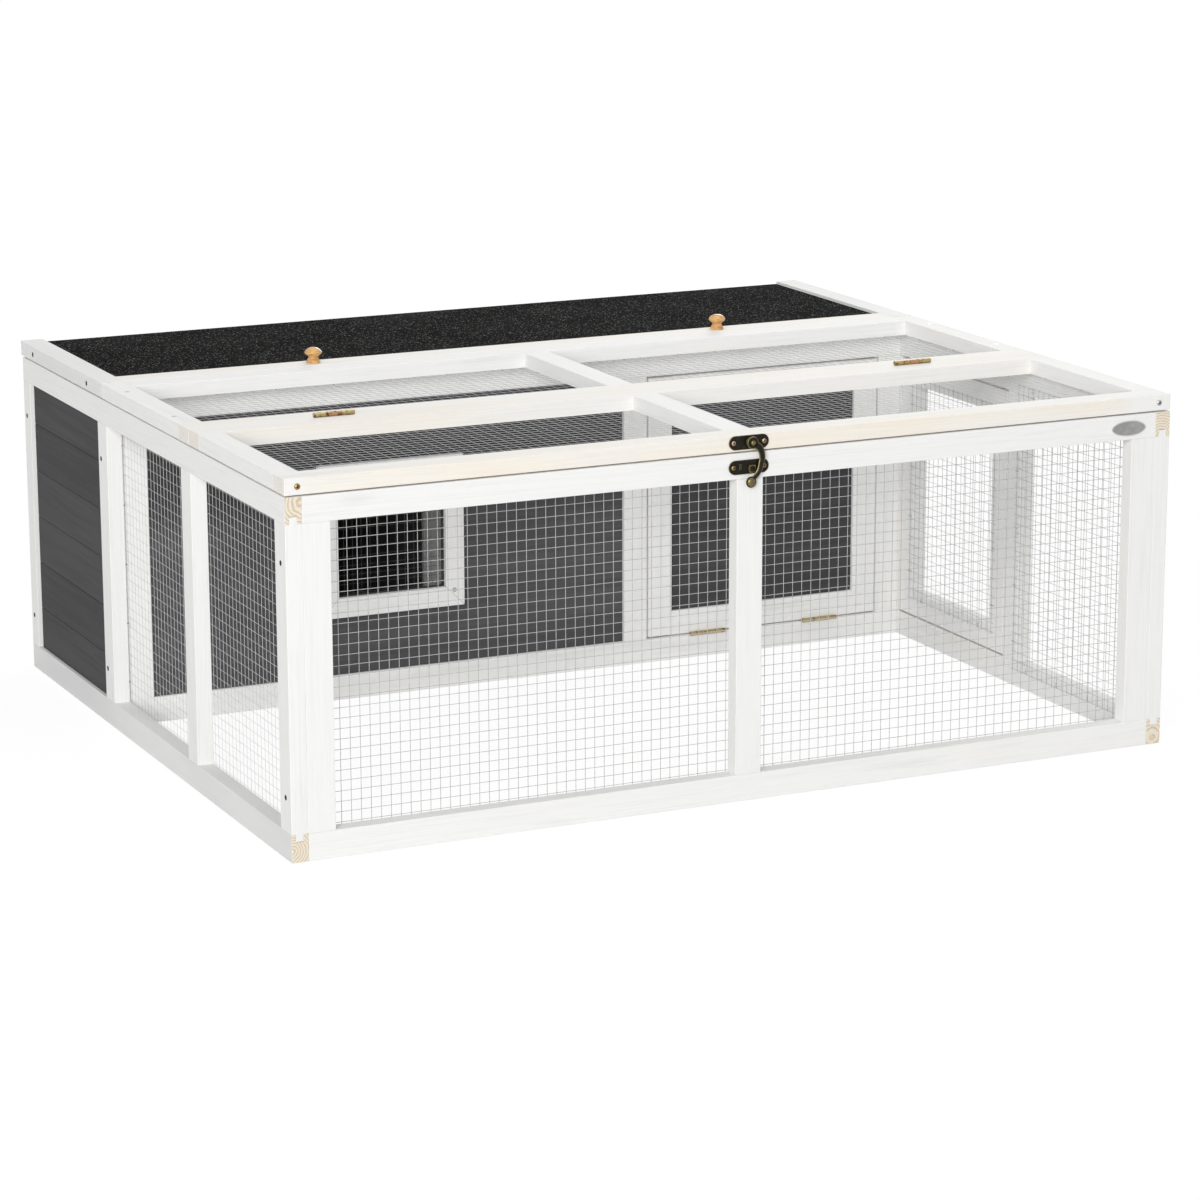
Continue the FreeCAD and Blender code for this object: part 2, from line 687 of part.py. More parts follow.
hook_ball = cylinder(
    "hook_ball", size("hook_ball_radius"), size("hook_ball_depth"),
    (minus(size("hook_ball_left")), minus(size("hook_lift")), minus(size("hook_ball_drop"))), out_of_wood)
eye_bore = add(size("latch_pin_radius"), size("pin_clearance"))
swing_hook = cut("swing_hook", fuse("swing_hook_blank", [
    hook_arm,
    cylinder("hook_eye", size("hook_eye_radius"), size("hook_thickness"), hook_back, out_of_wood),
    hook_ball,
]), [cylinder("hook_bore", eye_bore, pin_height, pivot, out_of_wood)])


def mirrored(name, source):
    item = document.addObject("Part::Mirroring", name)
    item.Source = source
    item.Base = FreeCAD.Vector(0, 0, 0)
    item.Normal = FreeCAD.Vector(1, 0, 0)
    return item


latch_pieces = (("plate", pivot_plate), ("hook", swing_hook), ("catch", catch_plate))
front_base = (zero, front_face, add(size("body_height"), size("front_latch_rise")))
side_latch_z = less(side_door_z[1], size("side_latch_drop"))
side_base = (right_face, add(side_door_y[0], size("side_latch_inset")), side_latch_z)
for piece, source in latch_pieces:
    keep("front_latch_" + piece, place(gather("front_latch_" + piece, [source]), front_base, upright))
    turned = gather("side_latch_" + piece, [mirrored("mirrored_" + piece, source)])
    keep("side_latch_" + piece, place(turned, side_base, ((0, 0, -1), (-1, 0, 0), (0, 1, 0))))

# Wire nets, each one holed sheet, with evenly spaced gaps near the stated pitch
net_bays = []


def net(name, base, axes, run, rise):
    item = document.addObject("Part::Feature", name)
    for side, formula in (("run_length", run), ("rise_length", rise)):
        item.addProperty("App::PropertyFloat", side)
        item.setExpression(side, formula)
    net_bays.append((item, base, axes))
    return item


def net_sheet(run_length, rise_length):
    wire = sheet.net_wire
    outline = Part.makePolygon([
        FreeCAD.Vector(0, 0, 0),
        FreeCAD.Vector(run_length, 0, 0),
        FreeCAD.Vector(run_length, rise_length, 0),
        FreeCAD.Vector(0, rise_length, 0),
        FreeCAD.Vector(0, 0, 0),
    ])
    across = max(1, round((run_length - wire) / sheet.net_pitch))
    upward = max(1, round((rise_length - wire) / sheet.net_pitch))
    run_step = (run_length - wire) / across
    rise_step = (rise_length - wire) / upward
    wires = [outline]
    for column in range(across):
        for line in range(upward):
            low = FreeCAD.Vector(wire + column * run_step, wire + line * rise_step, 0)
            right = FreeCAD.Vector(run_step - wire, 0, 0)
            up = FreeCAD.Vector(0, rise_step - wire, 0)
            wires.append(Part.makePolygon([low, low + up, low + up + right, low + right, low]))
    return Part.Face(wires).extrude(FreeCAD.Vector(0, 0, wire))


overlap = size("net_overlap")
net_z = grown((rail_floor, rail_ceiling), overlap)


def wall_net(wall, name, along, z_range, inner):
    run = less(along[1], along[0])
    rise = less(z_range[1], z_range[0])
    if walls[wall][0] == "x":
        return net(name, (along[1], inner, z_range[0]), ((-1, 0, 0), (0, 0, 1), (0, 1, 0)), run, rise)
    if wall == "left":
        return net(name, (inner, along[0], z_range[0]), ((0, 1, 0), (0, 0, 1), (1, 0, 0)), run, rise)
    return net(name, (inner, along[1], z_range[0]), ((0, -1, 0), (0, 0, 1), (-1, 0, 0)), run, rise)


def roof_net(name, x_range, y_range, under):
    run = less(x_range[1], x_range[0])
    rise = less(y_range[1], y_range[0])
    return net(name, (x_range[0], y_range[1], under), ((1, 0, 0), (0, -1, 0), (0, 0, -1)), run, rise)


run_bay = grown((front_post_rear, run_post_front), overlap)
far_bay = (less(run_post_rear, overlap), less(partition_front, size("net_clearance")))
front_inner = add(front_face, stock)
front_bays = ((front_places[0][1], front_places[1][0]), (front_places[1][1], front_places[2][0]))
keep_group("front_mesh", [
    wall_net("front", "front_net", grown(bay_x, overlap), net_z, front_inner) for bay_x in front_bays
])
keep_group("left_mesh", [
    wall_net("left", "left_net", run_bay, net_z, left_inner),
    wall_net("left", "left_net", far_bay, net_z, left_inner),
])
keep("right_mesh", wall_net("right", "right_mesh", run_bay, net_z, right_inner))
keep("side_door_mesh", wall_net(
    "right", "side_door_mesh", grown(side_open_y, overlap), grown(side_open_z, overlap), right_inner))
panel_rear = add(partition_front, tongue_range[1])
keep("window_mesh", wall_net(
    "partition", "window_mesh", grown(window_x, overlap), grown(window_z, overlap), panel_rear))
roof_overlap = size("roof_net_overlap")
roof_bays = ((roof_side_inner[0], centre_bar[0]), (centre_bar[1], roof_side_inner[1]))
framed_roofs = (("middle_mesh", middle_bay_y, fixed_roof_bottom), ("front_lid_mesh", lid_bay_y, roof_bottom))
for label, bay_y, under in framed_roofs:
    net_y = grown(bay_y, roof_overlap)
    keep_group(label, [
        roof_net(label + "_bay", grown(bay_x, roof_overlap), net_y, under) for bay_x in roof_bays
    ])
document.recompute()
for item, base, axes in net_bays:
    item.Shape = net_sheet(item.run_length, item.rise_length)
    place(item, base, axes)
document.recompute()

for item in document.Objects:
    if "Invalid" in item.State or "Error" in item.State:
        raise RuntimeError("not built: " + item.Name)
for label, item in nodes.items():
    if item.Shape.isNull() or not item.Shape.isValid():
        raise RuntimeError("bad shape: " + label)
    item.Shape.exportStep("parts/" + label + ".step")
print("nodes written:", len(nodes))
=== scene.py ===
import json
import math

import bpy
from mathutils import Matrix, Vector


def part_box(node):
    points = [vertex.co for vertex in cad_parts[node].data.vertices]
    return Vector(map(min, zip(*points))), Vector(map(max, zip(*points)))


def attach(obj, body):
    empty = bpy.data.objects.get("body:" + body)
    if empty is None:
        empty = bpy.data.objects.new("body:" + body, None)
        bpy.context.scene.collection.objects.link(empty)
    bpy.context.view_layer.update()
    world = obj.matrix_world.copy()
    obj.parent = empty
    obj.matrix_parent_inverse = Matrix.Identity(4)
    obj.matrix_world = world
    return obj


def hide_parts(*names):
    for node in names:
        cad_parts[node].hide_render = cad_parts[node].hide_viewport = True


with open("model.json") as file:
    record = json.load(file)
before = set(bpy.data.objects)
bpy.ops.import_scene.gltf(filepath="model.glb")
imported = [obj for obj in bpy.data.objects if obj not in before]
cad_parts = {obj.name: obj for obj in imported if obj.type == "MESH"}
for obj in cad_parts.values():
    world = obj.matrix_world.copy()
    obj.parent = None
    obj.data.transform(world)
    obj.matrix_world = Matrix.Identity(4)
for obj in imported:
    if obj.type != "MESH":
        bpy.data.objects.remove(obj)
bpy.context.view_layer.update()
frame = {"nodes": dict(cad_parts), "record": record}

mm = 0.001
nodes = frame["nodes"]
bodyOf = {}
for bodyName, members in frame["record"]["behaviour"]["bodies"].items():
    for member in members:
        bodyOf[member] = bodyName
slotOf = {part["node"]: part["material_slot"] for part in frame["record"]["subparts"]}


# node helpers for the finishes

def newFinish(name, roughness, specular, metallic=0.0):
    finish = bpy.data.materials.new(name)
    finish.use_nodes = True
    tree = finish.node_tree
    shader = tree.nodes["Principled BSDF"]
    shader.inputs["Roughness"].default_value = roughness
    shader.inputs["Metallic"].default_value = metallic
    shader.inputs["Specular IOR Level"].default_value = specular
    place = tree.nodes.new("ShaderNodeTexCoord")
    return finish, tree, shader, place


def feed(tree, socket, value):
    if isinstance(value, bpy.types.NodeSocket):
        tree.links.new(value, socket)
    else:
        socket.default_value = value


def calculate(tree, operation, first, second=0.0):
    node = tree.nodes.new("ShaderNodeMath")
    node.operation = operation
    feed(tree, node.inputs[0], first)
    feed(tree, node.inputs[1], second)
    return node.outputs[0]


def separate(tree, vector):
    node = tree.nodes.new("ShaderNodeSeparateXYZ")
    tree.links.new(vector, node.inputs[0])
    return node.outputs


def stretch(tree, vector, scale, shift=(0, 0, 0)):
    node = tree.nodes.new("ShaderNodeMapping")
    node.inputs["Scale"].default_value = scale
    node.inputs["Location"].default_value = shift
    tree.links.new(vector, node.inputs["Vector"])
    return node.outputs["Vector"]


def cloud(tree, vector, detail, roughness=0.5, distortion=0.0):
    node = tree.nodes.new("ShaderNodeTexNoise")
    node.inputs["Scale"].default_value = 1.0
    node.inputs["Detail"].default_value = detail
    node.inputs["Roughness"].default_value = roughness
    node.inputs["Distortion"].default_value = distortion
    tree.links.new(vector, node.inputs["Vector"])
    return node.outputs["Fac"]


def alongGrain(tree, vector, axis, cells, start=(0, 0, 0)):
    # cells per metre along the grain and across it
    scale = [cells[1]] * 3
    scale[axis] = cells[0]
    return stretch(tree, vector, scale, start)


def grainCloud(tree, vector, axis, cells, start=(0, 0, 0), **noise):
    return cloud(tree, alongGrain(tree, vector, axis, cells, start), **noise)


def strewnCells(tree, vector, scale=1.0):
    node = tree.nodes.new("ShaderNodeTexVoronoi")
    node.inputs["Scale"].default_value = scale
    tree.links.new(vector, node.inputs["Vector"])
    return node.outputs


def cellLots(tree, cells):
    # three random numbers for each cell
    node = tree.nodes.new("ShaderNodeSeparateColor")
    tree.links.new(cells["Color"], node.inputs[0])
    return node.outputs


def spread(tree, factor, low, high, lowOut=0.0, highOut=1.0):
    node = tree.nodes.new("ShaderNodeMapRange")
    node.interpolation_type = "SMOOTHSTEP"
    for key, value in (("From Min", low), ("From Max", high), ("To Min", lowOut), ("To Max", highOut)):
        node.inputs[key].default_value = value
    tree.links.new(factor, node.inputs["Value"])
    return node.outputs["Result"]


def blendColours(tree, factor, first, second, way="MIX"):
    node = tree.nodes.new("ShaderNodeMix")
    node.data_type = "RGBA"
    node.blend_type = way
    feed(tree, node.inputs[0], factor)
    feed(tree, node.inputs[6], first)
    feed(tree, node.inputs[7], second)
    return node.outputs[2]


def addBump(tree, shader, height, distance, strength):
    node = tree.nodes.new("ShaderNodeBump")
    node.inputs["Strength"].default_value = strength
    node.inputs["Distance"].default_value = distance
    tree.links.new(height, node.inputs["Height"])
    tree.links.new(node.outputs["Normal"], shader.inputs["Normal"])


# whitewashed pine: thin white stain over pale grain, bare sawn ends

pine = {
    "white": (0.87, 0.868, 0.855, 1),
    # a lighter white for the pieces inside the run: painted light that makes up for the shade there
    "paintedLightWhite": (0.93, 0.928, 0.912, 1),
    "cream": (0.88, 0.80, 0.675, 1),
    "grey": (0.72, 0.725, 0.72, 1),
    "knot": (0.50, 0.49, 0.46, 1),
    "end": (0.81, 0.745, 0.62, 1),
    "endRing": (0.60, 0.455, 0.31, 1),
    "roughness": 0.65,
    "specular": 0.2,
    # patterns: cells per metre along and across the grain, where the pattern starts, and its noise
    "tint": {"cells": (2.2, 19), "start": (3.1, 1.7, 5.3), "detail": 3, "roughness": 0.55},
    "shade": {"cells": (4, 45), "start": (7.7, 2.9, 0.4), "detail": 4, "roughness": 0.6},
    "streak": {"cells": (9, 420), "detail": 4, "roughness": 0.65, "distortion": 0.3},
    "drift": {"cells": (3, 14), "start": (5.9, 0.8, 2.6), "detail": 3},
    "ringWobble": {"cells": (110, 110), "detail": 4},
    "ringCells": (0.4, 12),
    "knotCells": (4.1, 11),
    # ranges: low and high of the pattern, then what it gives at each of them
    "coldCream": (0.52, 0.82, 0.0, 0.3),
    "warmCream": (0.32, 0.72, 0.25, 0.9),
    "creamEnds": ((-590 * mm, -565 * mm, 0.15, 1.0), (525 * mm, 555 * mm, 1.0, 0.15)),
    "creamTop": (0.5, 0.9, 1.0, 0.45),
    "greyRange": (0.55, 0.80, 0.0, 0.5),
    "streakRange": (0.42, 0.72, 1.0, 0.95),
    "knotRange": (0.03, 0.16, 0.26, 0.0),
    "ringRange": (-0.2, 1.0, 0.0, 0.75),
    "mitreRange": (0.225 * mm, 0.45 * mm, 0.5, 1.0),
    "washRange": (0.3, 0.7),
    "endRange": (0.80, 0.95),
    "ringTurns": 165,
    "wobble": 0.055,
    "knotless": 0.72,  # share of the cells that have no knot
    "grainDepth": 0.25 * mm,
    "grainStrength": 0.5,
}


def creamShare(tree, spot, facing, axis, warmth):
    tint = grainCloud(tree, spot, axis, **pine["tint"])
    ends = zip(pine["coldCream"], pine["warmCream"])
    share = spread(tree, tint, *[cold + (warm - cold) * warmth for cold, warm in ends])
    if warmth < 1:
        return share
    # on the warmest rail the white lies thicker towards both ends and on top
    reach = separate(tree, spot)
    for fade in pine["creamEnds"]:
        share = calculate(tree, "MULTIPLY", share, spread(tree, reach[axis], *fade))
    return calculate(tree, "MULTIPLY", share, spread(tree, facing[2], *pine["creamTop"]))


def knotShare(tree, spot, axis):
    # small greyish knots here and there
    cells = strewnCells(tree, alongGrain(tree, spot, axis, pine["knotCells"]))
    near = spread(tree, cells["Distance"], *pine["knotRange"])
    chosen = calculate(tree, "GREATER_THAN", cellLots(tree, cells)[0], pine["knotless"])
    return calculate(tree, "MULTIPLY", near, chosen)


def ringedEnd(tree, spot, axis):
    # growth rings about centres strewn through the stock
    centres = strewnCells(tree, alongGrain(tree, spot, axis, pine["ringCells"]))
    wobble = calculate(tree, "MULTIPLY", grainCloud(tree, spot, axis, **pine["ringWobble"]), pine["wobble"])
    away = calculate(tree, "ADD", centres["Distance"], wobble)
    wave = calculate(tree, "SINE", calculate(tree, "MULTIPLY", away, pine["ringTurns"]))
    return blendColours(tree, spread(tree, wave, *pine["ringRange"]), pine["end"], pine["endRing"])


def mitredSpot(tree, spot, centre):
    # the upright strips of a mitred frame swap their two axes, and the mitres show as thin lines
    split = separate(tree, spot)
    sideways = calculate(tree, "ABSOLUTE", calculate(tree, "SUBTRACT", split[0], centre[0]))
    upward = calculate(tree, "ABSOLUTE", calculate(tree, "SUBTRACT", split[2], centre[2]))
    swapped = tree.nodes.new("ShaderNodeCombineXYZ")
    for index, source in enumerate((split[2], split[1], split[0])):
        tree.links.new(source, swapped.inputs[index])
    choice = tree.nodes.new("ShaderNodeMix")
    choice.data_type = "VECTOR"
    tree.links.new(calculate(tree, "GREATER_THAN", sideways, upward), choice.inputs[0])
    tree.links.new(spot, choice.inputs[4])
    tree.links.new(swapped.outputs[0], choice.inputs[5])
    offMitre = calculate(tree, "ABSOLUTE", calculate(tree, "SUBTRACT", sideways, upward))
    return choice.outputs[1], spread(tree, offMitre, *pine["mitreRange"])


def pineFinish(name, axis, warmth=0.0, endWash=0.0, frameCentre=None, wash=None, stain="white"):
    finish, tree, shader, place = newFinish(name, pine["roughness"], pine["specular"])
    spot = place.outputs["Object"]
    facing = separate(tree, place.outputs["Normal"])
    if frameCentre:
        spot, mitres = mitredSpot(tree, spot, frameCentre)
    colour = blendColours(tree, creamShare(tree, spot, facing, axis, warmth), pine[stain], pine["cream"])
    shade = grainCloud(tree, spot, axis, **pine["shade"])
    colour = blendColours(tree, spread(tree, shade, *pine["greyRange"]), colour, pine["grey"])
    streak = grainCloud(tree, spot, axis, **pine["streak"])
    colour = blendColours(tree, 1.0, colour, spread(tree, streak, *pine["streakRange"]), "MULTIPLY")
    colour = blendColours(tree, knotShare(tree, spot, axis), colour, pine["knot"])
    if wash:
        # thinner stain in drifts lets the greyer wood through
        drift = grainCloud(tree, spot, axis, **pine["drift"])
        colour = blendColours(tree, spread(tree, drift, *pine["washRange"], *wash), colour, pine["grey"])
    if frameCentre:
        colour = blendColours(tree, 1.0, colour, mitres, "MULTIPLY")
    else:
        # sawn ends show the bare wood with its rings
        endwise = calculate(tree, "ABSOLUTE", facing[axis])
        endMask = spread(tree, endwise, *pine["endRange"], 0.0, 1 - endWash)
        colour = blendColours(tree, endMask, colour, ringedEnd(tree, spot, axis))
    tree.links.new(colour, shader.inputs["Base Color"])
    addBump(tree, shader, streak, pine["grainDepth"], pine["grainStrength"])
    return finish


# dark grey stain on boards and panels

boardsLow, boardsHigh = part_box("left_boards")
charcoal = {
    "dark": (0.068, 0.068, 0.071),
    "light": (0.098, 0.098, 0.101),
    "roughness": 0.7,
    "specular": 0.1,
    "grain": {"cells": (5, 160), "detail": 5, "roughness": 0.62, "distortion": 0.4},
    "broad": {"cells": (2, 24), "start": (2.2, 8.1, 4.4), "detail": 2},
    "grainShare": 0.55,
    "broadShare": 0.45,
    "boardShare": 0.16,
    "toneRange": (0.36, 0.76),
    # heights over which the painted shade at the top of a panel comes in
    "paintedShadeLevels": (215 * mm, 300 * mm),
    "boardStart": boardsLow.z,
    "boardPitch": (boardsHigh.z - boardsLow.z) / 6,  # every wall is six boards high
    "grainDepth": 0.35 * mm,
    "grainStrength": 0.5,
}


def boardTone(tree, height):
    # every board has a tone of its own
    rise = calculate(tree, "SUBTRACT", height, charcoal["boardStart"])
    board = calculate(tree, "FLOOR", calculate(tree, "DIVIDE", rise, charcoal["boardPitch"]))
    lot = tree.nodes.new("ShaderNodeTexWhiteNoise")
    lot.noise_dimensions = "1D"
    tree.links.new(board, lot.inputs["W"])
    return calculate(tree, "MULTIPLY", lot.outputs["Value"], charcoal["boardShare"])


def charcoalFinish(name, axis, boarded=False, lightness=1.0, paintedTopShade=None):
    finish, tree, shader, place = newFinish(name, charcoal["roughness"], charcoal["specular"])
    spot = place.outputs["Object"]
    height = separate(tree, spot)[2]
    grain = grainCloud(tree, spot, axis, **charcoal["grain"])
    broad = grainCloud(tree, spot, axis, **charcoal["broad"])
    fineTone = calculate(tree, "MULTIPLY", grain, charcoal["grainShare"])
    tone = calculate(tree, "ADD", fineTone, calculate(tree, "MULTIPLY", broad, charcoal["broadShare"]))
    if boarded:
        tone = calculate(tree, "ADD", tone, boardTone(tree, height))
    dark, light = [[value * lightness for value in charcoal[key]] + [1] for key in ("dark", "light")]
    colour = blendColours(tree, spread(tree, tone, *charcoal["toneRange"]), dark, light)
    if paintedTopShade:
        # painted shade: the panel darkens towards the top, under the roof
        fade = spread(tree, height, *charcoal["paintedShadeLevels"], 1.0, paintedTopShade)
        colour = blendColours(tree, 1.0, colour, fade, "MULTIPLY")
    tree.links.new(colour, shader.inputs["Base Color"])
    addBump(tree, shader, grain, charcoal["grainDepth"], charcoal["grainStrength"])
    return finish


# black roofing felt with mineral grit

felt = {
    "black": (0.007, 0.007, 0.007, 1),
    "grey": (0.030, 0.030, 0.029, 1),
    "spark": (0.24, 0.24, 0.23, 1),
    "roughness": 1.0,
    "specular": 0.02,
    "grit": 640,
    "patches": (9, 9, 9),
    "patchDetail": 3,
    "patchRange": (0.3, 0.75, 0.6, 1.1),
    "greyRange": (0.35, 1.0),
    "sparkless": 0.945,  # share of the grit that doesn't glint
    "sparkShare": 0.7,
    "gritDepth": 0.5 * mm,
    "gritStrength": 0.6,
}


def feltFinish():
    finish, tree, shader, place = newFinish("mineralFelt", felt["roughness"], felt["specular"])
    spot = place.outputs["Object"]
    lots = cellLots(tree, strewnCells(tree, spot, felt["grit"]))
    patch = cloud(tree, stretch(tree, spot, felt["patches"]), felt["patchDetail"])
    level = calculate(tree, "MULTIPLY", lots[0], spread(tree, patch, *felt["patchRange"]))
    colour = blendColours(tree, spread(tree, level, *felt["greyRange"]), felt["black"], felt["grey"])
    spark = calculate(tree, "GREATER_THAN", lots[1], felt["sparkless"])
    colour = blendColours(tree, calculate(tree, "MULTIPLY", spark, felt["sparkShare"]), colour, felt["spark"])
    tree.links.new(colour, shader.inputs["Base Color"])
    addBump(tree, shader, calculate(tree, "ADD", lots[2], patch), felt["gritDepth"], felt["gritStrength"])
    return finish


# metals: a main colour, a second one in patches, and fine unevenness

metals = {
    # main colour, second colour, roughness, metallic, patches per metre, range of the patches, specular level
    "zincWire": ((0.63, 0.635, 0.63, 1), (0.51, 0.515, 0.51, 1), 0.45, 0.35, 160),
    "frontWire": ((0.50, 0.505, 0.50, 1), (0.40, 0.405, 0.40, 1), 0.45, 0.35, 160),
    "shadedWire": ((0.42, 0.425, 0.42, 1), (0.32, 0.325, 0.32, 1), 0.5, 0.3, 160),
    "dullWire": ((0.12, 0.12, 0.118, 1), (0.07, 0.07, 0.07, 1), 0.6, 0.1, 160),
    "copperBrass": ((0.52, 0.30, 0.155, 1), (0.075, 0.042, 0.03, 1), 0.36, 0.75, 220, (0.5, 0.66)),
    "oliveBrass": ((0.48, 0.37, 0.175, 1), (0.07, 0.058, 0.028, 1), 0.36, 0.75, 220, (0.5, 0.68)),
    "antiqueBronze": ((0.012, 0.011, 0.008, 1), (0.04, 0.034, 0.017, 1), 0.4, 0.5, 260, (0.5, 0.85), 0.25),
    # bright bronze on edges, rims, the pin and the ball: brass rubbed through, and painted highlight
    "rubbedBronzeAndHighlight": ((0.19, 0.15, 0.062, 1), (0.085, 0.066, 0.03, 1), 0.36, 0.8, 300, (0.48, 0.8), 0.3),
    "copperScrew": ((0.62, 0.43, 0.28, 1), (0.38, 0.25, 0.15, 1), 0.35, 0.85, 400),
    "brassScrew": ((0.38, 0.26, 0.105, 1), (0.19, 0.125, 0.05, 1), 0.35, 0.85, 400),
    # near-black: the dark screw heads, and painted shade in slots and along hinge edges
    "darkScrewAndShade": ((0.035, 0.028, 0.021, 1), (0.014, 0.012, 0.01, 1), 0.8, 0.0, 400, (0.45, 0.7), 0.05),
    "paleScrew": ((0.52, 0.52, 0.50, 1), (0.36, 0.355, 0.34, 1), 0.4, 0.6, 400),
    "pewterPlate": ((0.30, 0.30, 0.295, 1), (0.36, 0.36, 0.355, 1), 0.45, 0.4, 90),
    "pewterRim": ((0.60, 0.60, 0.59, 1), (0.45, 0.45, 0.44, 1), 0.35, 0.6, 90),
    "stapleSteel": ((0.20, 0.195, 0.19, 1), (0.11, 0.108, 0.105, 1), 0.5, 0.5, 300),
}
metalSurface = {
    "patchNoise": {"detail": 4, "roughness": 0.6},
    "fineness": 6,  # fine cells to one patch
    "fineNoise": {"detail": 3},
    "fineRange": (0.3, 0.7),
    "dullest": 1.2,
    "shiniest": 0.85,
    "depth": 0.08 * mm,
    "strength": 0.4,
}


def metalFinish(name, main, second, roughness, metallic, patches, share=(0.45, 0.7), specular=0.5):
    finish, tree, shader, place = newFinish(name, roughness, specular, metallic)
    spot = place.outputs["Object"]
    patch = cloud(tree, stretch(tree, spot, (patches,) * 3), **metalSurface["patchNoise"])
    colour = blendColours(tree, spread(tree, patch, *share), main, second)
    tree.links.new(colour, shader.inputs["Base Color"])
    fineCells = patches * metalSurface["fineness"]
    fine = cloud(tree, stretch(tree, spot, (fineCells,) * 3), **metalSurface["fineNoise"])
    limits = (roughness * metalSurface["shiniest"], roughness * metalSurface["dullest"])
    tree.links.new(spread(tree, fine, *metalSurface["fineRange"], *limits), shader.inputs["Roughness"])
    addBump(tree, shader, fine, metalSurface["depth"], metalSurface["strength"])
    return finish


# varnished wood of the knobs, its grain in level bands

varnish = {
    "light": (0.72, 0.42, 0.145, 1),
    "dark": (0.40, 0.175, 0.042, 1),
    "roughness": 0.36,
    "specular": 0.4,
    "coat": 0.4,
    "coatRoughness": 0.15,
    "cells": (130, 130, 900),
    "noise": {"detail": 4, "roughness": 0.6, "distortion": 0.5},
    "grainRange": (0.35, 0.7),
    "grainDepth": 0.1 * mm,
    "grainStrength": 0.3,
}


def varnishFinish():
    finish, tree, shader, place = newFinish("varnishedKnobWood", varnish["roughness"], varnish["specular"])
    shader.inputs["Coat Weight"].default_value = varnish["coat"]
    shader.inputs["Coat Roughness"].default_value = varnish["coatRoughness"]
    grain = cloud(tree, stretch(tree, place.outputs["Object"], varnish["cells"]), **varnish["noise"])
    share = spread(tree, grain, *varnish["grainRange"])
    colour = blendColours(tree, share, varnish["light"], varnish["dark"])
    tree.links.new(colour, shader.inputs["Base Color"])
    addBump(tree, shader, grain, varnish["grainDepth"], varnish["grainStrength"])
    return finish


metal = {name: metalFinish(name, *values) for name, values in metals.items()}
knobVarnish = varnishFinish()
windowLow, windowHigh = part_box("window_frame")
windowCentre = (windowLow + windowHigh) / 2
pineAlong = {key: pineFinish("whitewashedPine" + key.upper(), axis) for axis, key in enumerate("xyz")}
# the inner pieces take the lighter white: painted light
paintedLightPineX = pineFinish("paintedLightPineX", 0, stain="paintedLightWhite")
paintedLightPineZ = pineFinish("paintedLightPineZ", 2, stain="paintedLightWhite")
seamRail = pineFinish("seamRail", 0, warmth=0.55, endWash=0.62)
sideBoardStain = charcoalFinish("charcoalSideBoards", 1, boarded=True, lightness=0.78)
ownFinish = {
    "partition_top_rail": paintedLightPineX,
    "partition_bottom_rail": paintedLightPineX,
    "house_door_rails": paintedLightPineX,
    "partition_posts": paintedLightPineZ,
    "house_door_stiles": paintedLightPineZ,
    # the window frame takes the lighter white too: painted light
    "window_frame": pineFinish("mitredPine", 0, frameCentre=windowCentre, stain="paintedLightWhite"),
    "front_lid_front_rail": pineFinish("creamRail", 0, warmth=1.0, endWash=0.72),
    "front_lid_rear_rail": seamRail,
    "house_roof_knob_rail": seamRail,
    "middle_front_rail": pineFinish("middleRail", 0, warmth=0.55, endWash=0.75),
    "left_bottom_rail": pineFinish("footRail", 1, wash=(0.45, 1.0)),
    "house_roof_side_rails": pineFinish("greyRail", 1, wash=(0.1, 0.6)),
    "left_boards": sideBoardStain,
    "right_boards": sideBoardStain,
    "rear_boards": charcoalFinish("charcoalRearBoards", 0, boarded=True, lightness=0.78),
    # the partition and door panels darken towards the top: painted shade under the roof
    "partition_panel": charcoalFinish("charcoalPartition", 0, lightness=1.18, paintedTopShade=0.6),
    "house_door_panel": charcoalFinish("charcoalDoor", 0, lightness=0.88, paintedTopShade=0.8),
    "house_roof_board": charcoalFinish("charcoalPanel", 0),
    "house_roof_felt": feltFinish(),
}
print("finishes ready:", len(bpy.data.materials))


# timber and metal that keep their solids: finish, then softened edges

timber = {
    "x": ("front_top_rail", "front_bottom_rail", "rear_top_rail", "rear_bottom_rail", "partition_top_rail",
          "partition_bottom_rail", "house_door_rails", "house_roof_rear_rail", "house_roof_knob_rail",
          "middle_rear_rail", "middle_front_rail", "front_lid_rear_rail", "front_lid_front_rail"),
    "y": ("left_top_rail", "left_bottom_rail", "right_top_rail", "right_bottom_rail", "side_door_rails",
          "house_roof_side_rails", "middle_side_rails", "middle_centre_rail", "front_lid_bars"),
    "z": ("front_posts", "left_posts", "right_posts", "rear_posts", "partition_posts", "house_door_stiles",
          "side_door_stiles"),
    "boards": ("left_boards", "right_boards", "rear_boards"),
}
softEdge = {
    "timber": 0.6 * mm,
    "board": 0.9 * mm,
    "latch": 0.8 * mm,
    "hinge": 0.35 * mm,
    "segments": 2,
    "weld": 0.005 * mm,
    "flatAngle": math.radians(1),
    "edgeAngle": math.radians(40),
}


def softenEdges(name, width, edgeFinish=None):
    piece = nodes[name]
    weld = piece.modifiers.new("weld", "WELD")
    weld.merge_threshold = softEdge["weld"]
    flat = piece.modifiers.new("flat", "DECIMATE")
    flat.decimate_type = "DISSOLVE"
    flat.angle_limit = softEdge["flatAngle"]
    edge = piece.modifiers.new("edge", "BEVEL")
    edge.width = width
    edge.segments = softEdge["segments"]
    edge.limit_method = "ANGLE"
    edge.angle_limit = softEdge["edgeAngle"]
    if edgeFinish:
        piece.data.materials.append(edgeFinish)
        edge.material = 1


def setFinish(name, finish):
    piece = nodes[name]
    piece.data.materials.clear()
    piece.data.materials.append(finish)


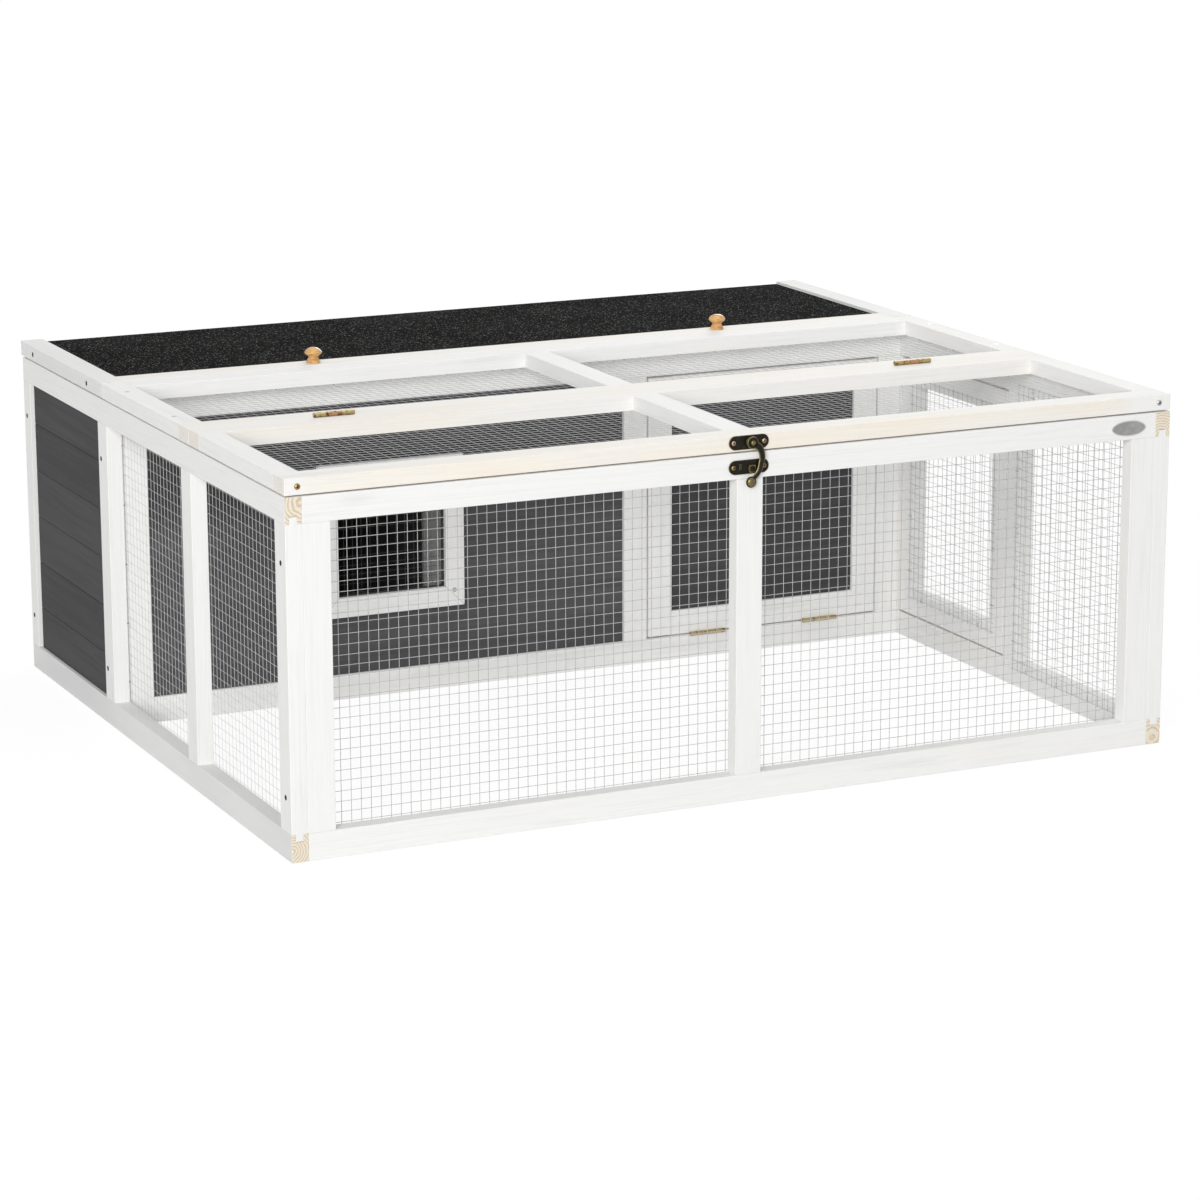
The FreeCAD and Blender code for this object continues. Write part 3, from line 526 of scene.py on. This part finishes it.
for grainAxis in "xyz":
    for name in timber[grainAxis]:
        setFinish(name, pineAlong[grainAxis])
        softenEdges(name, softEdge["timber"])
for name, finish in ownFinish.items():
    setFinish(name, finish)
softenEdges("window_frame", softEdge["timber"])
for name in timber["boards"]:
    softenEdges(name, softEdge["board"])
for name, slot in slotOf.items():
    if slot == "hinge_brass":
        tone = "oliveBrass" if "fixed" in name or "door" in name else "copperBrass"
        setFinish(name, metal[tone])
        # the hinge edges take the near-black finish: painted shade along the leaves
        softenEdges(name, softEdge["hinge"], metal["darkScrewAndShade"])
# latch plates and catches get bright edges: rubbed brass and painted highlight
for side in ("front", "side"):
    for name in (side + "_latch_plate", side + "_latch_catch"):
        setFinish(name, metal["antiqueBronze"])
        softenEdges(name, softEdge["latch"], metal["rubbedBronzeAndHighlight"])
print("solids dressed:", len(nodes))


# modelling helpers

def clearSelection():
    if bpy.context.object and bpy.context.object.mode != "OBJECT":
        bpy.ops.object.mode_set(mode="OBJECT")
    bpy.ops.object.select_all(action="DESELECT")


def pick(piece):
    clearSelection()
    piece.select_set(True)
    bpy.context.view_layer.objects.active = piece


def settle(piece):
    pick(piece)
    bpy.ops.object.transform_apply(location=True, rotation=True, scale=True)
    return piece


def applyModifier(piece, kind, **settings):
    pick(piece)
    modifier = piece.modifiers.new(kind.lower(), kind)
    for key, value in settings.items():
        setattr(modifier, key, value)
    bpy.ops.object.modifier_apply(modifier=modifier.name)


def joinPieces(pieces):
    clearSelection()
    for piece in pieces:
        piece.select_set(True)
    bpy.context.view_layer.objects.active = pieces[0]
    if len(pieces) > 1:
        bpy.ops.object.join()
    return bpy.context.object


def addFinishes(piece, *finishes):
    for finish in finishes:
        piece.data.materials.append(finish)
    return piece


def pressFront(piece, rim, depth):
    # the front face is inset, pushed in and given the second finish
    pick(piece)
    bpy.ops.object.mode_set(mode="EDIT")
    bpy.ops.mesh.select_mode(type="FACE")
    bpy.ops.mesh.select_all(action="DESELECT")
    bpy.ops.object.mode_set(mode="OBJECT")
    for face in piece.data.polygons:
        face.select = face.normal.y < -0.9  # looks to the front
    bpy.ops.object.mode_set(mode="EDIT")
    bpy.ops.mesh.inset(thickness=rim)
    bpy.ops.transform.translate(value=(0, depth, 0))
    piece.active_material_index = 1
    bpy.ops.object.material_slot_assign()
    bpy.ops.object.mode_set(mode="OBJECT")


def bentRod(points, radius, roundness, handles, steps):
    clearSelection()
    bpy.ops.curve.primitive_bezier_curve_add()
    rod = bpy.context.object
    rod.data.dimensions = "3D"
    rod.data.bevel_depth = radius
    rod.data.bevel_resolution = roundness
    rod.data.resolution_u = steps
    rod.data.use_fill_caps = True
    spline = rod.data.splines[0]
    spline.bezier_points.add(len(points) - len(spline.bezier_points))
    for point, (place, thickness) in zip(spline.bezier_points, points):
        point.co = place
        point.radius = thickness
        point.handle_left_type = handles
        point.handle_right_type = handles
    bpy.ops.object.convert(target="MESH")
    return bpy.context.object


def turnedProfile(points, steps):
    # a line of points in millimetres, radius and height, turned about z
    radii, heights = [[value * mm for value in values] for values in zip(*points)]
    clearSelection()
    bpy.ops.mesh.primitive_plane_add(size=1 * mm)
    bpy.ops.object.mode_set(mode="EDIT")
    bpy.ops.mesh.select_mode(type="VERT")  # a lone point can't be picked as a face
    bpy.ops.mesh.select_all(action="SELECT")
    bpy.ops.mesh.merge(type="CENTER")
    bpy.ops.transform.translate(value=(radii[0], 0, heights[0]))
    for index in range(1, len(points)):
        step = (radii[index] - radii[index - 1], 0, heights[index] - heights[index - 1])
        bpy.ops.mesh.extrude_region_move(TRANSFORM_OT_translate={"value": step})
    bpy.ops.mesh.select_all(action="SELECT")
    bpy.ops.mesh.spin(steps=steps, angle=math.tau, center=(0, 0, 0), axis=(0, 0, 1))
    bpy.ops.mesh.select_all(action="SELECT")
    bpy.ops.mesh.remove_doubles(threshold=0.002 * mm)  # closes the poles
    bpy.ops.mesh.normals_make_consistent(inside=False)
    bpy.ops.object.mode_set(mode="OBJECT")
    return bpy.context.object


def placedCopy(source, matrix):
    piece = source.copy()
    piece.data = source.data.copy()
    bpy.context.collection.objects.link(piece)
    piece.data.transform(matrix)
    if matrix.determinant() < 0:
        piece.data.flip_normals()
    return piece


def outward(direction, place):
    # turns z to the direction, and moves to a place in millimetres
    turn = Vector(direction).to_track_quat("Z", "Y").to_matrix().to_4x4()
    return Matrix.Translation(Vector(place) * mm) @ turn


def dressPiece(piece, name, finish, body, smoothAngle=40):
    pick(piece)
    piece.name = name
    piece.data.name = name
    if finish:
        piece.data.materials.clear()
        piece.data.materials.append(finish)
    bpy.ops.object.shade_smooth_by_angle(angle=math.radians(smoothAngle))
    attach(piece, body)
    return piece


# welded wire nets, one wire repeated each way

wireNet = {
    "pitch": 12.7 * mm,
    "sides": 6,
    "sink": 0.2 * mm,
    "smoothAngle": 65,
    # normal: axis across the net, woodSide: the side that lies on the wood
    # split: axis, centre and width of the gap between two nets
    "nets": {
        "front_mesh": {"wire": "frontWire", "radius": 0.38 * mm, "normal": 1, "woodSide": -1,
                       "split": (0, 0.0, 11.0 * mm)},
        "left_mesh": {"wire": "zincWire", "radius": 0.25 * mm, "normal": 0, "woodSide": -1,
                      "split": (1, -165.5 * mm, 11.0 * mm)},
        "right_mesh": {"wire": "shadedWire", "radius": 0.28 * mm, "normal": 0, "woodSide": 1},
        "side_door_mesh": {"wire": "shadedWire", "radius": 0.28 * mm, "normal": 0, "woodSide": 1},
        "window_mesh": {"wire": "dullWire", "radius": 0.19 * mm, "normal": 1, "woodSide": -1},
        "middle_mesh": {"wire": "frontWire", "radius": 0.22 * mm, "normal": 2, "woodSide": 1,
                        "split": (0, 0.0, 19.0 * mm)},
        "front_lid_mesh": {"wire": "zincWire", "radius": 0.19 * mm, "normal": 2, "woodSide": 1,
                           "split": (0, 0.0, 19.0 * mm)},
    },
}


def netBays(name, weave):
    low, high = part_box(name)
    if "split" not in weave:
        return [(low, high)]
    axis, centre, gap = weave["split"]
    firstHigh, secondLow = high.copy(), low.copy()
    firstHigh[axis] = centre - gap / 2
    secondLow[axis] = centre + gap / 2
    return [(low, firstHigh), (secondLow, high)]


def bayFace(weave, low, high):
    # the two axes in the net, and the level of the wood it lies on
    across = [axis for axis in range(3) if axis != weave["normal"]]
    corner = low if weave["woodSide"] < 0 else high
    return across, corner[weave["normal"]]


def wireRow(start, end, step, count, radius):
    clearSelection()
    run = end - start
    bpy.ops.mesh.primitive_cylinder_add(
        vertices=wireNet["sides"], radius=radius, depth=run.length,
        location=(start + end) / 2, rotation=run.to_track_quat("Z", "Y").to_euler())
    wire = settle(bpy.context.object)
    applyModifier(wire, "ARRAY", count=count, use_relative_offset=False, use_constant_offset=True,
                  constant_offset_displace=step)
    return wire


def wireBay(weave, low, high):
    rows = []
    radius, normal = weave["radius"], weave["normal"]
    across, face = bayFace(weave, low, high)
    for layer, (lengthAxis, stepAxis) in enumerate((across, across[::-1])):
        width = high[stepAxis] - low[stepAxis]
        count = int((width - 2 * radius) / wireNet["pitch"]) + 1
        spare = (width - (count - 1) * wireNet["pitch"]) / 2
        depth = radius + layer * (2 * radius - wireNet["sink"])
        start, end, step = Vector(), Vector(), Vector()
        start[lengthAxis], end[lengthAxis] = low[lengthAxis], high[lengthAxis]
        start[stepAxis] = end[stepAxis] = low[stepAxis] + spare
        start[normal] = end[normal] = face - weave["woodSide"] * depth
        step[stepAxis] = wireNet["pitch"]
        rows.append(wireRow(start, end, step, count, radius))
    return rows


# staples over the outermost wires, crown across the wire

staple = {
    "crown": 6.0 * mm,
    "leg": 2.6 * mm,
    "radius": 0.36 * mm,
    "inset": 4.5 * mm,
    "lift": 0.1 * mm,
    "spacing": 85 * mm,
    "bare": ("window_mesh",),
}


def stapleRod():
    half, foot = staple["crown"] / 2, -staple["leg"]
    corners = ((-half, 0, foot), (-half, 0, 0), (half, 0, 0), (half, 0, foot))
    return bentRod([(corner, 1) for corner in corners], staple["radius"], 0, "VECTOR", 1)


def bayStaples(shape, weave, low, high):
    copies = []
    seat = 4 * weave["radius"] - wireNet["sink"] + staple["lift"]
    across, face = bayFace(weave, low, high)
    for edgeAxis, crownAxis in (across, across[::-1]):
        edge, crown, out = Vector(), Vector(), Vector()
        edge[edgeAxis] = crown[crownAxis] = 1
        out[weave["normal"]] = -weave["woodSide"]
        turn = Matrix((crown, edge, out)).transposed().to_4x4()
        length = high[edgeAxis] - low[edgeAxis]
        count = max(2, round(length / staple["spacing"]))
        for side in (low[crownAxis] + staple["inset"], high[crownAxis] - staple["inset"]):
            for index in range(count):
                spot = out * seat
                spot[edgeAxis] = low[edgeAxis] + length * (index + 0.5) / count
                spot[crownAxis] = side
                spot[weave["normal"]] += face
                copies.append(placedCopy(shape, Matrix.Translation(spot) @ turn))
    return copies


stapleShape = stapleRod()
for name, weave in wireNet["nets"].items():
    rows, staples = [], []
    for low, high in netBays(name, weave):
        rows += wireBay(weave, low, high)
        if name not in staple["bare"]:
            staples += bayStaples(stapleShape, weave, low, high)
    net = dressPiece(joinPieces(rows), name.replace("mesh", "wires"), metal[weave["wire"]],
                     bodyOf[name], wireNet["smoothAngle"])
    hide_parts(name)
    if staples:
        dressPiece(joinPieces(staples), name.replace("mesh", "staples"), metal["stapleSteel"],
                   bodyOf[name])
bpy.data.objects.remove(stapleShape)
print("nets woven and stapled:", len(wireNet["nets"]))


# turned knobs

knob = {
    "profile": ((0, 0), (8.9, 0), (9.2, 0.7), (9.2, 1.9), (8.8, 2.4), (8.3, 2.7), (8.45, 3.1), (8.2, 4.0),
                (7.3, 5.6), (6.55, 7.0), (6.3, 8.0), (6.55, 8.9), (7.6, 9.9), (9.3, 11.2), (10.9, 12.5),
                (11.6, 13.5), (11.75, 14.2), (11.5, 14.9), (10.2, 16.6), (8.5, 18.3), (7.9, 18.9),
                (5.2, 20.2), (2.4, 20.85), (0, 21.0)),
    "steps": 48,
    "smoothAngle": 60,
}
knobLow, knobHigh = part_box("roof_knobs")
knobMiddle = (knobLow.y + knobHigh.y) / 2
knobRadius = (knobHigh.y - knobLow.y) / 2
turned = turnedProfile(knob["profile"], knob["steps"])
knobs = []
for across in (knobLow.x + knobRadius, knobHigh.x - knobRadius):
    knobs.append(placedCopy(turned, Matrix.Translation((across, knobMiddle, knobLow.z))))
bpy.data.objects.remove(turned)
knobPair = dressPiece(
    joinPieces(knobs), "turned_knobs", knobVarnish, "house_roof", knob["smoothAngle"])
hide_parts("roof_knobs")
print("knobs turned")


# swing hook in millimetres about its pivot: right x, out of the wood -y, up z

hook = {
    # right, up and share of the width
    "line": ((4.4, -2.8, 1.2), (9.8, -7.6, 1.15), (13.0, -17.0, 1.08), (11.6, -27.0, 1.0), (8.9, -35.4, 0.9),
             (4.6, -41.2, 0.84), (-1.0, -45.8, 0.78)),
    # half width, flatness, distance from the wood, finish
    # the wider bright layer shows as rims on both sides of the dark ridge: rubbed brass and painted highlight
    "layers": ((3.8, 0.36, 6.4, "rubbedBronzeAndHighlight"), (3.0, 0.56, 6.9, "antiqueBronze")),
    "armRoundness": 4,
    "armSteps": 6,
    "eyeRadius": 7.6,
    "eyeThickness": 3.0,
    "eyeMiddle": 5.9,
    "eyeEdge": 1.0,
    "eyeSides": 40,
    "ballPlace": (-1.8, -6.4, -48.4),
    "ballRadius": 5.9,
    "ballDepth": 3.6,
    "ballSides": 32,
    "rimRadius": 1.1,
    "rimSides": 10,
}
facingOut = (math.pi / 2, 0, 0)


def hookArms():
    line = [((right * mm, 0, up * mm), width) for right, up, width in hook["line"]]
    arms = []
    for halfWidth, flatness, middle, tone in hook["layers"]:
        arm = bentRod(line, halfWidth * mm, hook["armRoundness"], "AUTO", hook["armSteps"])
        arm.scale = (1, flatness, 1)
        arm.location = (0, -middle * mm, 0)
        arms.append(settle(addFinishes(arm, metal[tone])))
    return arms


def hookEye():
    clearSelection()
    bpy.ops.mesh.primitive_cylinder_add(
        vertices=hook["eyeSides"], radius=hook["eyeRadius"] * mm, depth=hook["eyeThickness"] * mm,
        location=(0, -hook["eyeMiddle"] * mm, 0), rotation=facingOut)
    eye = addFinishes(settle(bpy.context.object), metal["antiqueBronze"], metal["rubbedBronzeAndHighlight"])
    applyModifier(eye, "BEVEL", width=hook["eyeEdge"] * mm, segments=3, limit_method="ANGLE", material=1)
    return eye


def hookBall():
    # a bright centre inside a dark rim ring: painted highlight on the ball
    place = Vector(hook["ballPlace"]) * mm
    clearSelection()
    bpy.ops.mesh.primitive_uv_sphere_add(
        segments=hook["ballSides"], ring_count=hook["ballSides"] // 2, radius=hook["ballRadius"] * mm,
        location=place)
    ball = bpy.context.object
    ball.scale = (1, hook["ballDepth"] / hook["ballRadius"], 1)
    settle(addFinishes(ball, metal["rubbedBronzeAndHighlight"]))
    clearSelection()
    bpy.ops.mesh.primitive_torus_add(
        major_segments=hook["ballSides"], minor_segments=hook["rimSides"], location=place, rotation=facingOut,
        major_radius=hook["ballRadius"] * mm, minor_radius=hook["rimRadius"] * mm)
    rim = settle(addFinishes(bpy.context.object, metal["antiqueBronze"]))
    return [ball, rim]


# screw and rivet heads in millimetres, turned about z

screw = {
    "flat": ((0, 0.01), (2.6, 0.01), (3.0, 0.03), (3.4, 0.02), (3.5, -0.4), (0, -0.4)),
    "round": ((0, 2.2), (1.7, 2.0), (3.0, 1.3), (3.7, 0.4), (3.85, -0.3), (0, -0.3)),
    "small": ((0, 1.2), (1.4, 1.1), (2.4, 0.65), (2.9, 0.1), (2.95, -0.3), (0, -0.3)),
    "rivet": ((0, 1.0), (1.2, 0.85), (2.2, 0.45), (2.8, -0.2), (0, -0.2)),
    "steps": 24,
    "slotDepth": 1.0,
    "slotWidth": 1.1,
    "slotLength": 1.15,  # times the head's radius
    "darkDepth": 0.8,
    "darkReach": 0.6,
    "uprightSlope": 0.2,
}


def crossSlot(head, profile):
    top = profile[0][1]
    length = profile[-2][0] * screw["slotLength"] * mm
    for turn in (0, math.pi / 2):
        clearSelection()
        bpy.ops.mesh.primitive_cube_add(
            size=1, location=(0, 0, top * mm), rotation=(0, 0, turn),
            scale=(length, screw["slotWidth"] * mm, 2 * screw["slotDepth"] * mm))
        blade = settle(bpy.context.object)
        applyModifier(head, "BOOLEAN", object=blade, operation="DIFFERENCE")
        bpy.data.objects.remove(blade)
    # the walls and the floor of the slot take the second finish, a near-black one: painted shade in the slot
    slotFloor = (top - screw["darkDepth"] * screw["slotDepth"]) * mm
    for face in head.data.polygons:
        sunk = abs(face.normal.z) < screw["uprightSlope"] or face.center.z < slotFloor
        if sunk and face.center.xy.length < screw["darkReach"] * length:
            face.material_index = 1


def screwHead(kind, slotted=False):
    head = turnedProfile(screw[kind], screw["steps"])
    if slotted:
        crossSlot(head, screw[kind])
    return head


# what sits on the latch plates, in millimetres: screws, the domed pin, the square catch and a low stop

latchTrim = {
    "pivotShift": 2.5,
    "screwRights": (-23.2, 18.2),
    "plateFace": 1.5,
    "pinFace": 8.9,
    "catchDrop": 30.3,
    # place, size and rim
    "catch": ((1.2, -2.8, -32.7), (8.8, 2.8, 9.4), 1.5),
    "stop": ((-14.6, -1.8, -29.6), (2.6, 1.4, 6.6), 0.6),
    "pressDepth": 0.3,
    "blockEdge": 0.35,
}


def pressedBlock(place, blockSize, rim):
    clearSelection()
    bpy.ops.mesh.primitive_cube_add(size=1, location=Vector(place) * mm, scale=Vector(blockSize) * mm)
    # the block's rim stays bright around its dark pressed face: rubbed brass and painted highlight
    block = addFinishes(settle(bpy.context.object), metal["rubbedBronzeAndHighlight"], metal["antiqueBronze"])
    pressFront(block, rim * mm, latchTrim["pressDepth"] * mm)
    applyModifier(block, "BEVEL", width=latchTrim["blockEdge"] * mm, segments=2, limit_method="ANGLE",
                  material=0)
    return block


def plateScrews(shape, drop, finish):
    heads = []
    for across in latchTrim["screwRights"]:
        head = placedCopy(shape, outward((0, -1, 0), (across, -latchTrim["plateFace"], -drop)))
        # the slots take the dark bronze: painted shade
        heads.append(addFinishes(head, finish, metal["antiqueBronze"]))
    return heads


def latchMatrix(side):
    low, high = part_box(side + "_latch_plate")
    middle = (low + high) / 2
    shift = latchTrim["pivotShift"] * mm
    if side == "front":
        return Matrix.Translation((middle.x + shift, high.y, middle.z))
    # on the right wall the latch lies on its side as a mirror image
    return Matrix(((0, -1, 0, low.x), (0, 0, 1, middle.y), (1, 0, 0, middle.z + shift), (0, 0, 0, 1)))


hookShape = joinPieces(hookArms() + [hookEye()] + hookBall())
smallScrew = screwHead("small", slotted=True)
rivetHead = screwHead("rivet")
pinDome = placedCopy(rivetHead, outward((0, -1, 0), (0, -latchTrim["pinFace"], 0)))
addFinishes(pinDome, metal["rubbedBronzeAndHighlight"])
upperTrim = joinPieces(plateScrews(smallScrew, 0, metal["copperScrew"]) + [pinDome])
lowerTrim = joinPieces(plateScrews(smallScrew, latchTrim["catchDrop"], metal["brassScrew"]) + [
    pressedBlock(*latchTrim["catch"]),
    pressedBlock(*latchTrim["stop"]),
])
for side in ("front", "side"):
    seat = latchMatrix(side)
    swing = placedCopy(hookShape, seat)
    dressPiece(swing, "swing_hook_" + side, None, side + "_hook")
    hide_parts(side + "_latch_hook")
    for trim, node in ((upperTrim, side + "_latch_plate"), (lowerTrim, side + "_latch_catch")):
        dressPiece(placedCopy(trim, seat), node + "_trim", None, bodyOf[node])
for shape in (hookShape, smallScrew, rivetHead, upperTrim, lowerTrim):
    bpy.data.objects.remove(shape)
print("latches fitted")


# screws that show in the timber, places in millimetres

timberScrews = {
    "sides": (-1, 1),
    "wallRuns": (-492, 168, 492),
    "wallLevels": (76, 358),
    "rearRights": (-561.5, 0, 561.5),
    "roofRuns": (220, 455),
    "roofLevel": 449,
    "frameRights": (-589, 589),
    "frameRuns": (-97, 84),
    "window": ((-112, 136), (-294, 310)),
    "lid": ((-584, "brassScrew"), (583, "paleScrew")),
    "lidLevel": 450,
}
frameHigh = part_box("middle_side_rails")[1]
sideFace = frameHigh.x / mm
frameTop = frameHigh.z / mm
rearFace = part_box("rear_top_rail")[1].y / mm
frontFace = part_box("front_lid_front_rail")[0].y / mm
windowFace = windowLow.y / mm


def wallSpots():
    spots = []
    for side in timberScrews["sides"]:
        for run in timberScrews["wallRuns"]:
            for level in timberScrews["wallLevels"]:
                spots.append(((side, 0, 0), (side * sideFace, run, level), "darkScrewAndShade"))
    for across in timberScrews["rearRights"]:
        for level in timberScrews["wallLevels"]:
            spots.append(((0, 1, 0), (across, rearFace, level), "darkScrewAndShade"))
    return spots


def roofSpots():
    level = timberScrews["roofLevel"]
    return [((side, 0, 0), (side * sideFace, run, level), "darkScrewAndShade")
            for side in timberScrews["sides"] for run in timberScrews["roofRuns"]]


def frameSpots():
    return [((0, 0, 1), (across, run, frameTop), "paleScrew")
            for across in timberScrews["frameRights"] for run in timberScrews["frameRuns"]]


def windowSpots():
    return [((0, -1, 0), (across, windowFace, level), "paleScrew")
            for across, level in timberScrews["window"]]


def lidSpots():
    level = timberScrews["lidLevel"]
    return [((0, -1, 0), (across, frontFace, level), tone) for across, tone in timberScrews["lid"]]


flatScrew = screwHead("flat")
roundScrew = screwHead("round", slotted=True)
for name, shape, spots, slot, body in (
        ("wall_screws", flatScrew, wallSpots(), "zinc_wire", "carcass"),
        ("roof_screws", flatScrew, roofSpots(), "zinc_wire", "house_roof"),
        ("frame_screws", flatScrew, frameSpots(), "zinc_wire", "carcass"),
        ("window_screws", flatScrew, windowSpots(), "zinc_wire", "carcass"),
        ("lid_screws", roundScrew, lidSpots(), "hinge_brass", "front_lid")):
    heads = []
    for direction, place, tone in spots:
        head = placedCopy(shape, outward(direction, place))
        heads.append(addFinishes(head, metal[tone], metal["darkScrewAndShade"]))
    dressPiece(joinPieces(heads), name, None, body)
for shape in (flatScrew, roundScrew):
    bpy.data.objects.remove(shape)
print("screws set")


# bare oval plate on the front rail, in millimetres

plate = {
    "place": (538.5, frontFace - 0.5, 421),
    "halves": (25, 10, 1.4),  # half its length, half its height, and its thickness
    "rim": 1.3,
    "sink": 0.35,
    "edge": 0.25,
    "sides": 64,
}
clearSelection()
bpy.ops.mesh.primitive_cylinder_add(
    vertices=plate["sides"], radius=1, depth=1, location=Vector(plate["place"]) * mm,
    scale=Vector(plate["halves"]) * mm, rotation=facingOut)
ovalPlate = addFinishes(settle(bpy.context.object), metal["pewterRim"], metal["pewterPlate"])
pressFront(ovalPlate, plate["rim"] * mm, plate["sink"] * mm)
applyModifier(ovalPlate, "BEVEL", width=plate["edge"] * mm, segments=2, limit_method="ANGLE",
              angle_limit=softEdge["edgeAngle"])
dressPiece(ovalPlate, "oval_plate", None, "carcass")
print("plate fixed")


# pale floor and world, lit softly but shown as a white ground

stage = {
    "size": 60,
    "white": (0.7, 0.7, 0.7, 1),
    "shownShare": 0.85,
    "shownRange": (1.5, 6.0, 1.07, 1.15),  # distance in metres, then the brightness there
    "houseBlur": 10 * mm,
    "worldLevel": 0.35,
    "worldShown": 1.0,
}


def shownRays(tree):
    path = tree.nodes.new("ShaderNodeLightPath")
    shown = calculate(tree, "MAXIMUM", path.outputs["Is Camera Ray"], path.outputs["Is Glossy Ray"])
    return calculate(tree, "MAXIMUM", shown, path.outputs["Is Transmission Ray"])


def mixedSurface(tree, factor, first, second, output):
    node = tree.nodes.new("ShaderNodeMixShader")
    for index, source in enumerate((factor, first, second)):
        tree.links.new(source, node.inputs[index])
    tree.links.new(node.outputs[0], tree.nodes[output].inputs["Surface"])


def insideHouse(tree, spot):
    # 1 under the house roof, 0 elsewhere
    low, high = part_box("house_roof_board")
    split = separate(tree, spot)
    inside = 1.0
    for axis in (0, 1):
        for edge, before, after in ((low[axis], 0.0, 1.0), (high[axis], 1.0, 0.0)):
            blur = (edge - stage["houseBlur"], edge + stage["houseBlur"])
            inside = calculate(tree, "MULTIPLY", spread(tree, split[axis], *blur, before, after), inside)
    return inside


def floorFinish():
    finish, tree, shader, place = newFinish("paleFloor", 1.0, 0.5)
    spot = place.outputs["Object"]
    shader.inputs["Base Color"].default_value = stage["white"]
    glow = tree.nodes.new("ShaderNodeEmission")
    distance = tree.nodes.new("ShaderNodeVectorMath")
    distance.operation = "LENGTH"
    tree.links.new(spot, distance.inputs[0])
    brightness = spread(tree, distance.outputs["Value"], *stage["shownRange"])
    tree.links.new(brightness, glow.inputs["Strength"])
    # inside the house the floor only shows the light that reaches it
    outside = calculate(tree, "SUBTRACT", 1.0, insideHouse(tree, spot))
    shown = calculate(tree, "MULTIPLY", shownRays(tree), stage["shownShare"])
    shown = calculate(tree, "MULTIPLY", shown, outside)
    mixedSurface(tree, shown, shader.outputs[0], glow.outputs[0], "Material Output")
    return finish


clearSelection()
bpy.ops.mesh.primitive_plane_add(size=stage["size"], location=(0, 0, 0))
floor = bpy.context.object
floor.name = "studio_floor"
addFinishes(floor, floorFinish())

world = bpy.data.worlds.new("studio")
world.use_nodes = True
bpy.context.scene.world = world
worldLight = world.node_tree.nodes["Background"]
worldLight.inputs["Color"].default_value = (1, 1, 1, 1)
worldLight.inputs["Strength"].default_value = stage["worldLevel"]
worldShown = world.node_tree.nodes.new("ShaderNodeBackground")
worldShown.inputs["Strength"].default_value = stage["worldShown"]
mixedSurface(world.node_tree, shownRays(world.node_tree), worldLight.outputs[0], worldShown.outputs[0],
             "World Output")


# lamps, in metres and watts

lamps = {
    "frontKey": {"place": (-6.32, -8.39, 3.68), "aim": (0, 0, 0.2), "size": 5.8, "power": 870},
    "topFill": {"place": (0.2, 0.1, 3.6), "aim": (0, 0, 0.3), "size": 3.0, "power": 40},
    "rearFill": {"place": (5.0, 6.4, 3.2), "aim": (0, 0, 0.2), "size": 4.4, "power": 170},
}
for name, lamp in lamps.items():
    light = bpy.data.lights.new(name, "AREA")
    light.shape = "DISK"
    light.size = lamp["size"]
    light.energy = lamp["power"]
    holder = bpy.data.objects.new(name, light)
    holder.location = lamp["place"]
    beam = Vector(lamp["aim"]) - Vector(lamp["place"])
    holder.rotation_euler = beam.to_track_quat("-Z", "Y").to_euler()
    bpy.context.scene.collection.objects.link(holder)


# camera at the photograph's own place, angles in degrees

view = {
    "place": (-2140.2 * mm, -4641.4 * mm, 1392.4 * mm),
    "turn": 25.139,
    "tilt": 13.747,
    "roll": 0.131,
    "focalPixels": 3927.5,
    "imagePixels": 1200,
    "sensorWidth": 36,
    "clipEnd": 100,
}
turn, tilt, roll = [math.radians(view[key]) for key in ("turn", "tilt", "roll")]
forward = Vector((math.sin(turn) * math.cos(tilt), math.cos(turn) * math.cos(tilt), -math.sin(tilt)))
right = Vector((math.cos(turn), -math.sin(turn), 0))
pose = Matrix((right, right.cross(forward), -forward)).transposed() @ Matrix.Rotation(-roll, 3, "Z")
camera = bpy.data.cameras.new("photoView")
camera.sensor_width = view["sensorWidth"]
camera.lens = view["focalPixels"] / view["imagePixels"] * camera.sensor_width
camera.clip_end = view["clipEnd"]
cameraHolder = bpy.data.objects.new("photoView", camera)
cameraHolder.matrix_world = Matrix.Translation(view["place"]) @ pose.to_4x4()
bpy.context.scene.collection.objects.link(cameraHolder)
bpy.context.scene.camera = cameraHolder
bpy.context.scene.view_settings.view_transform = "Standard"
print("stage set")
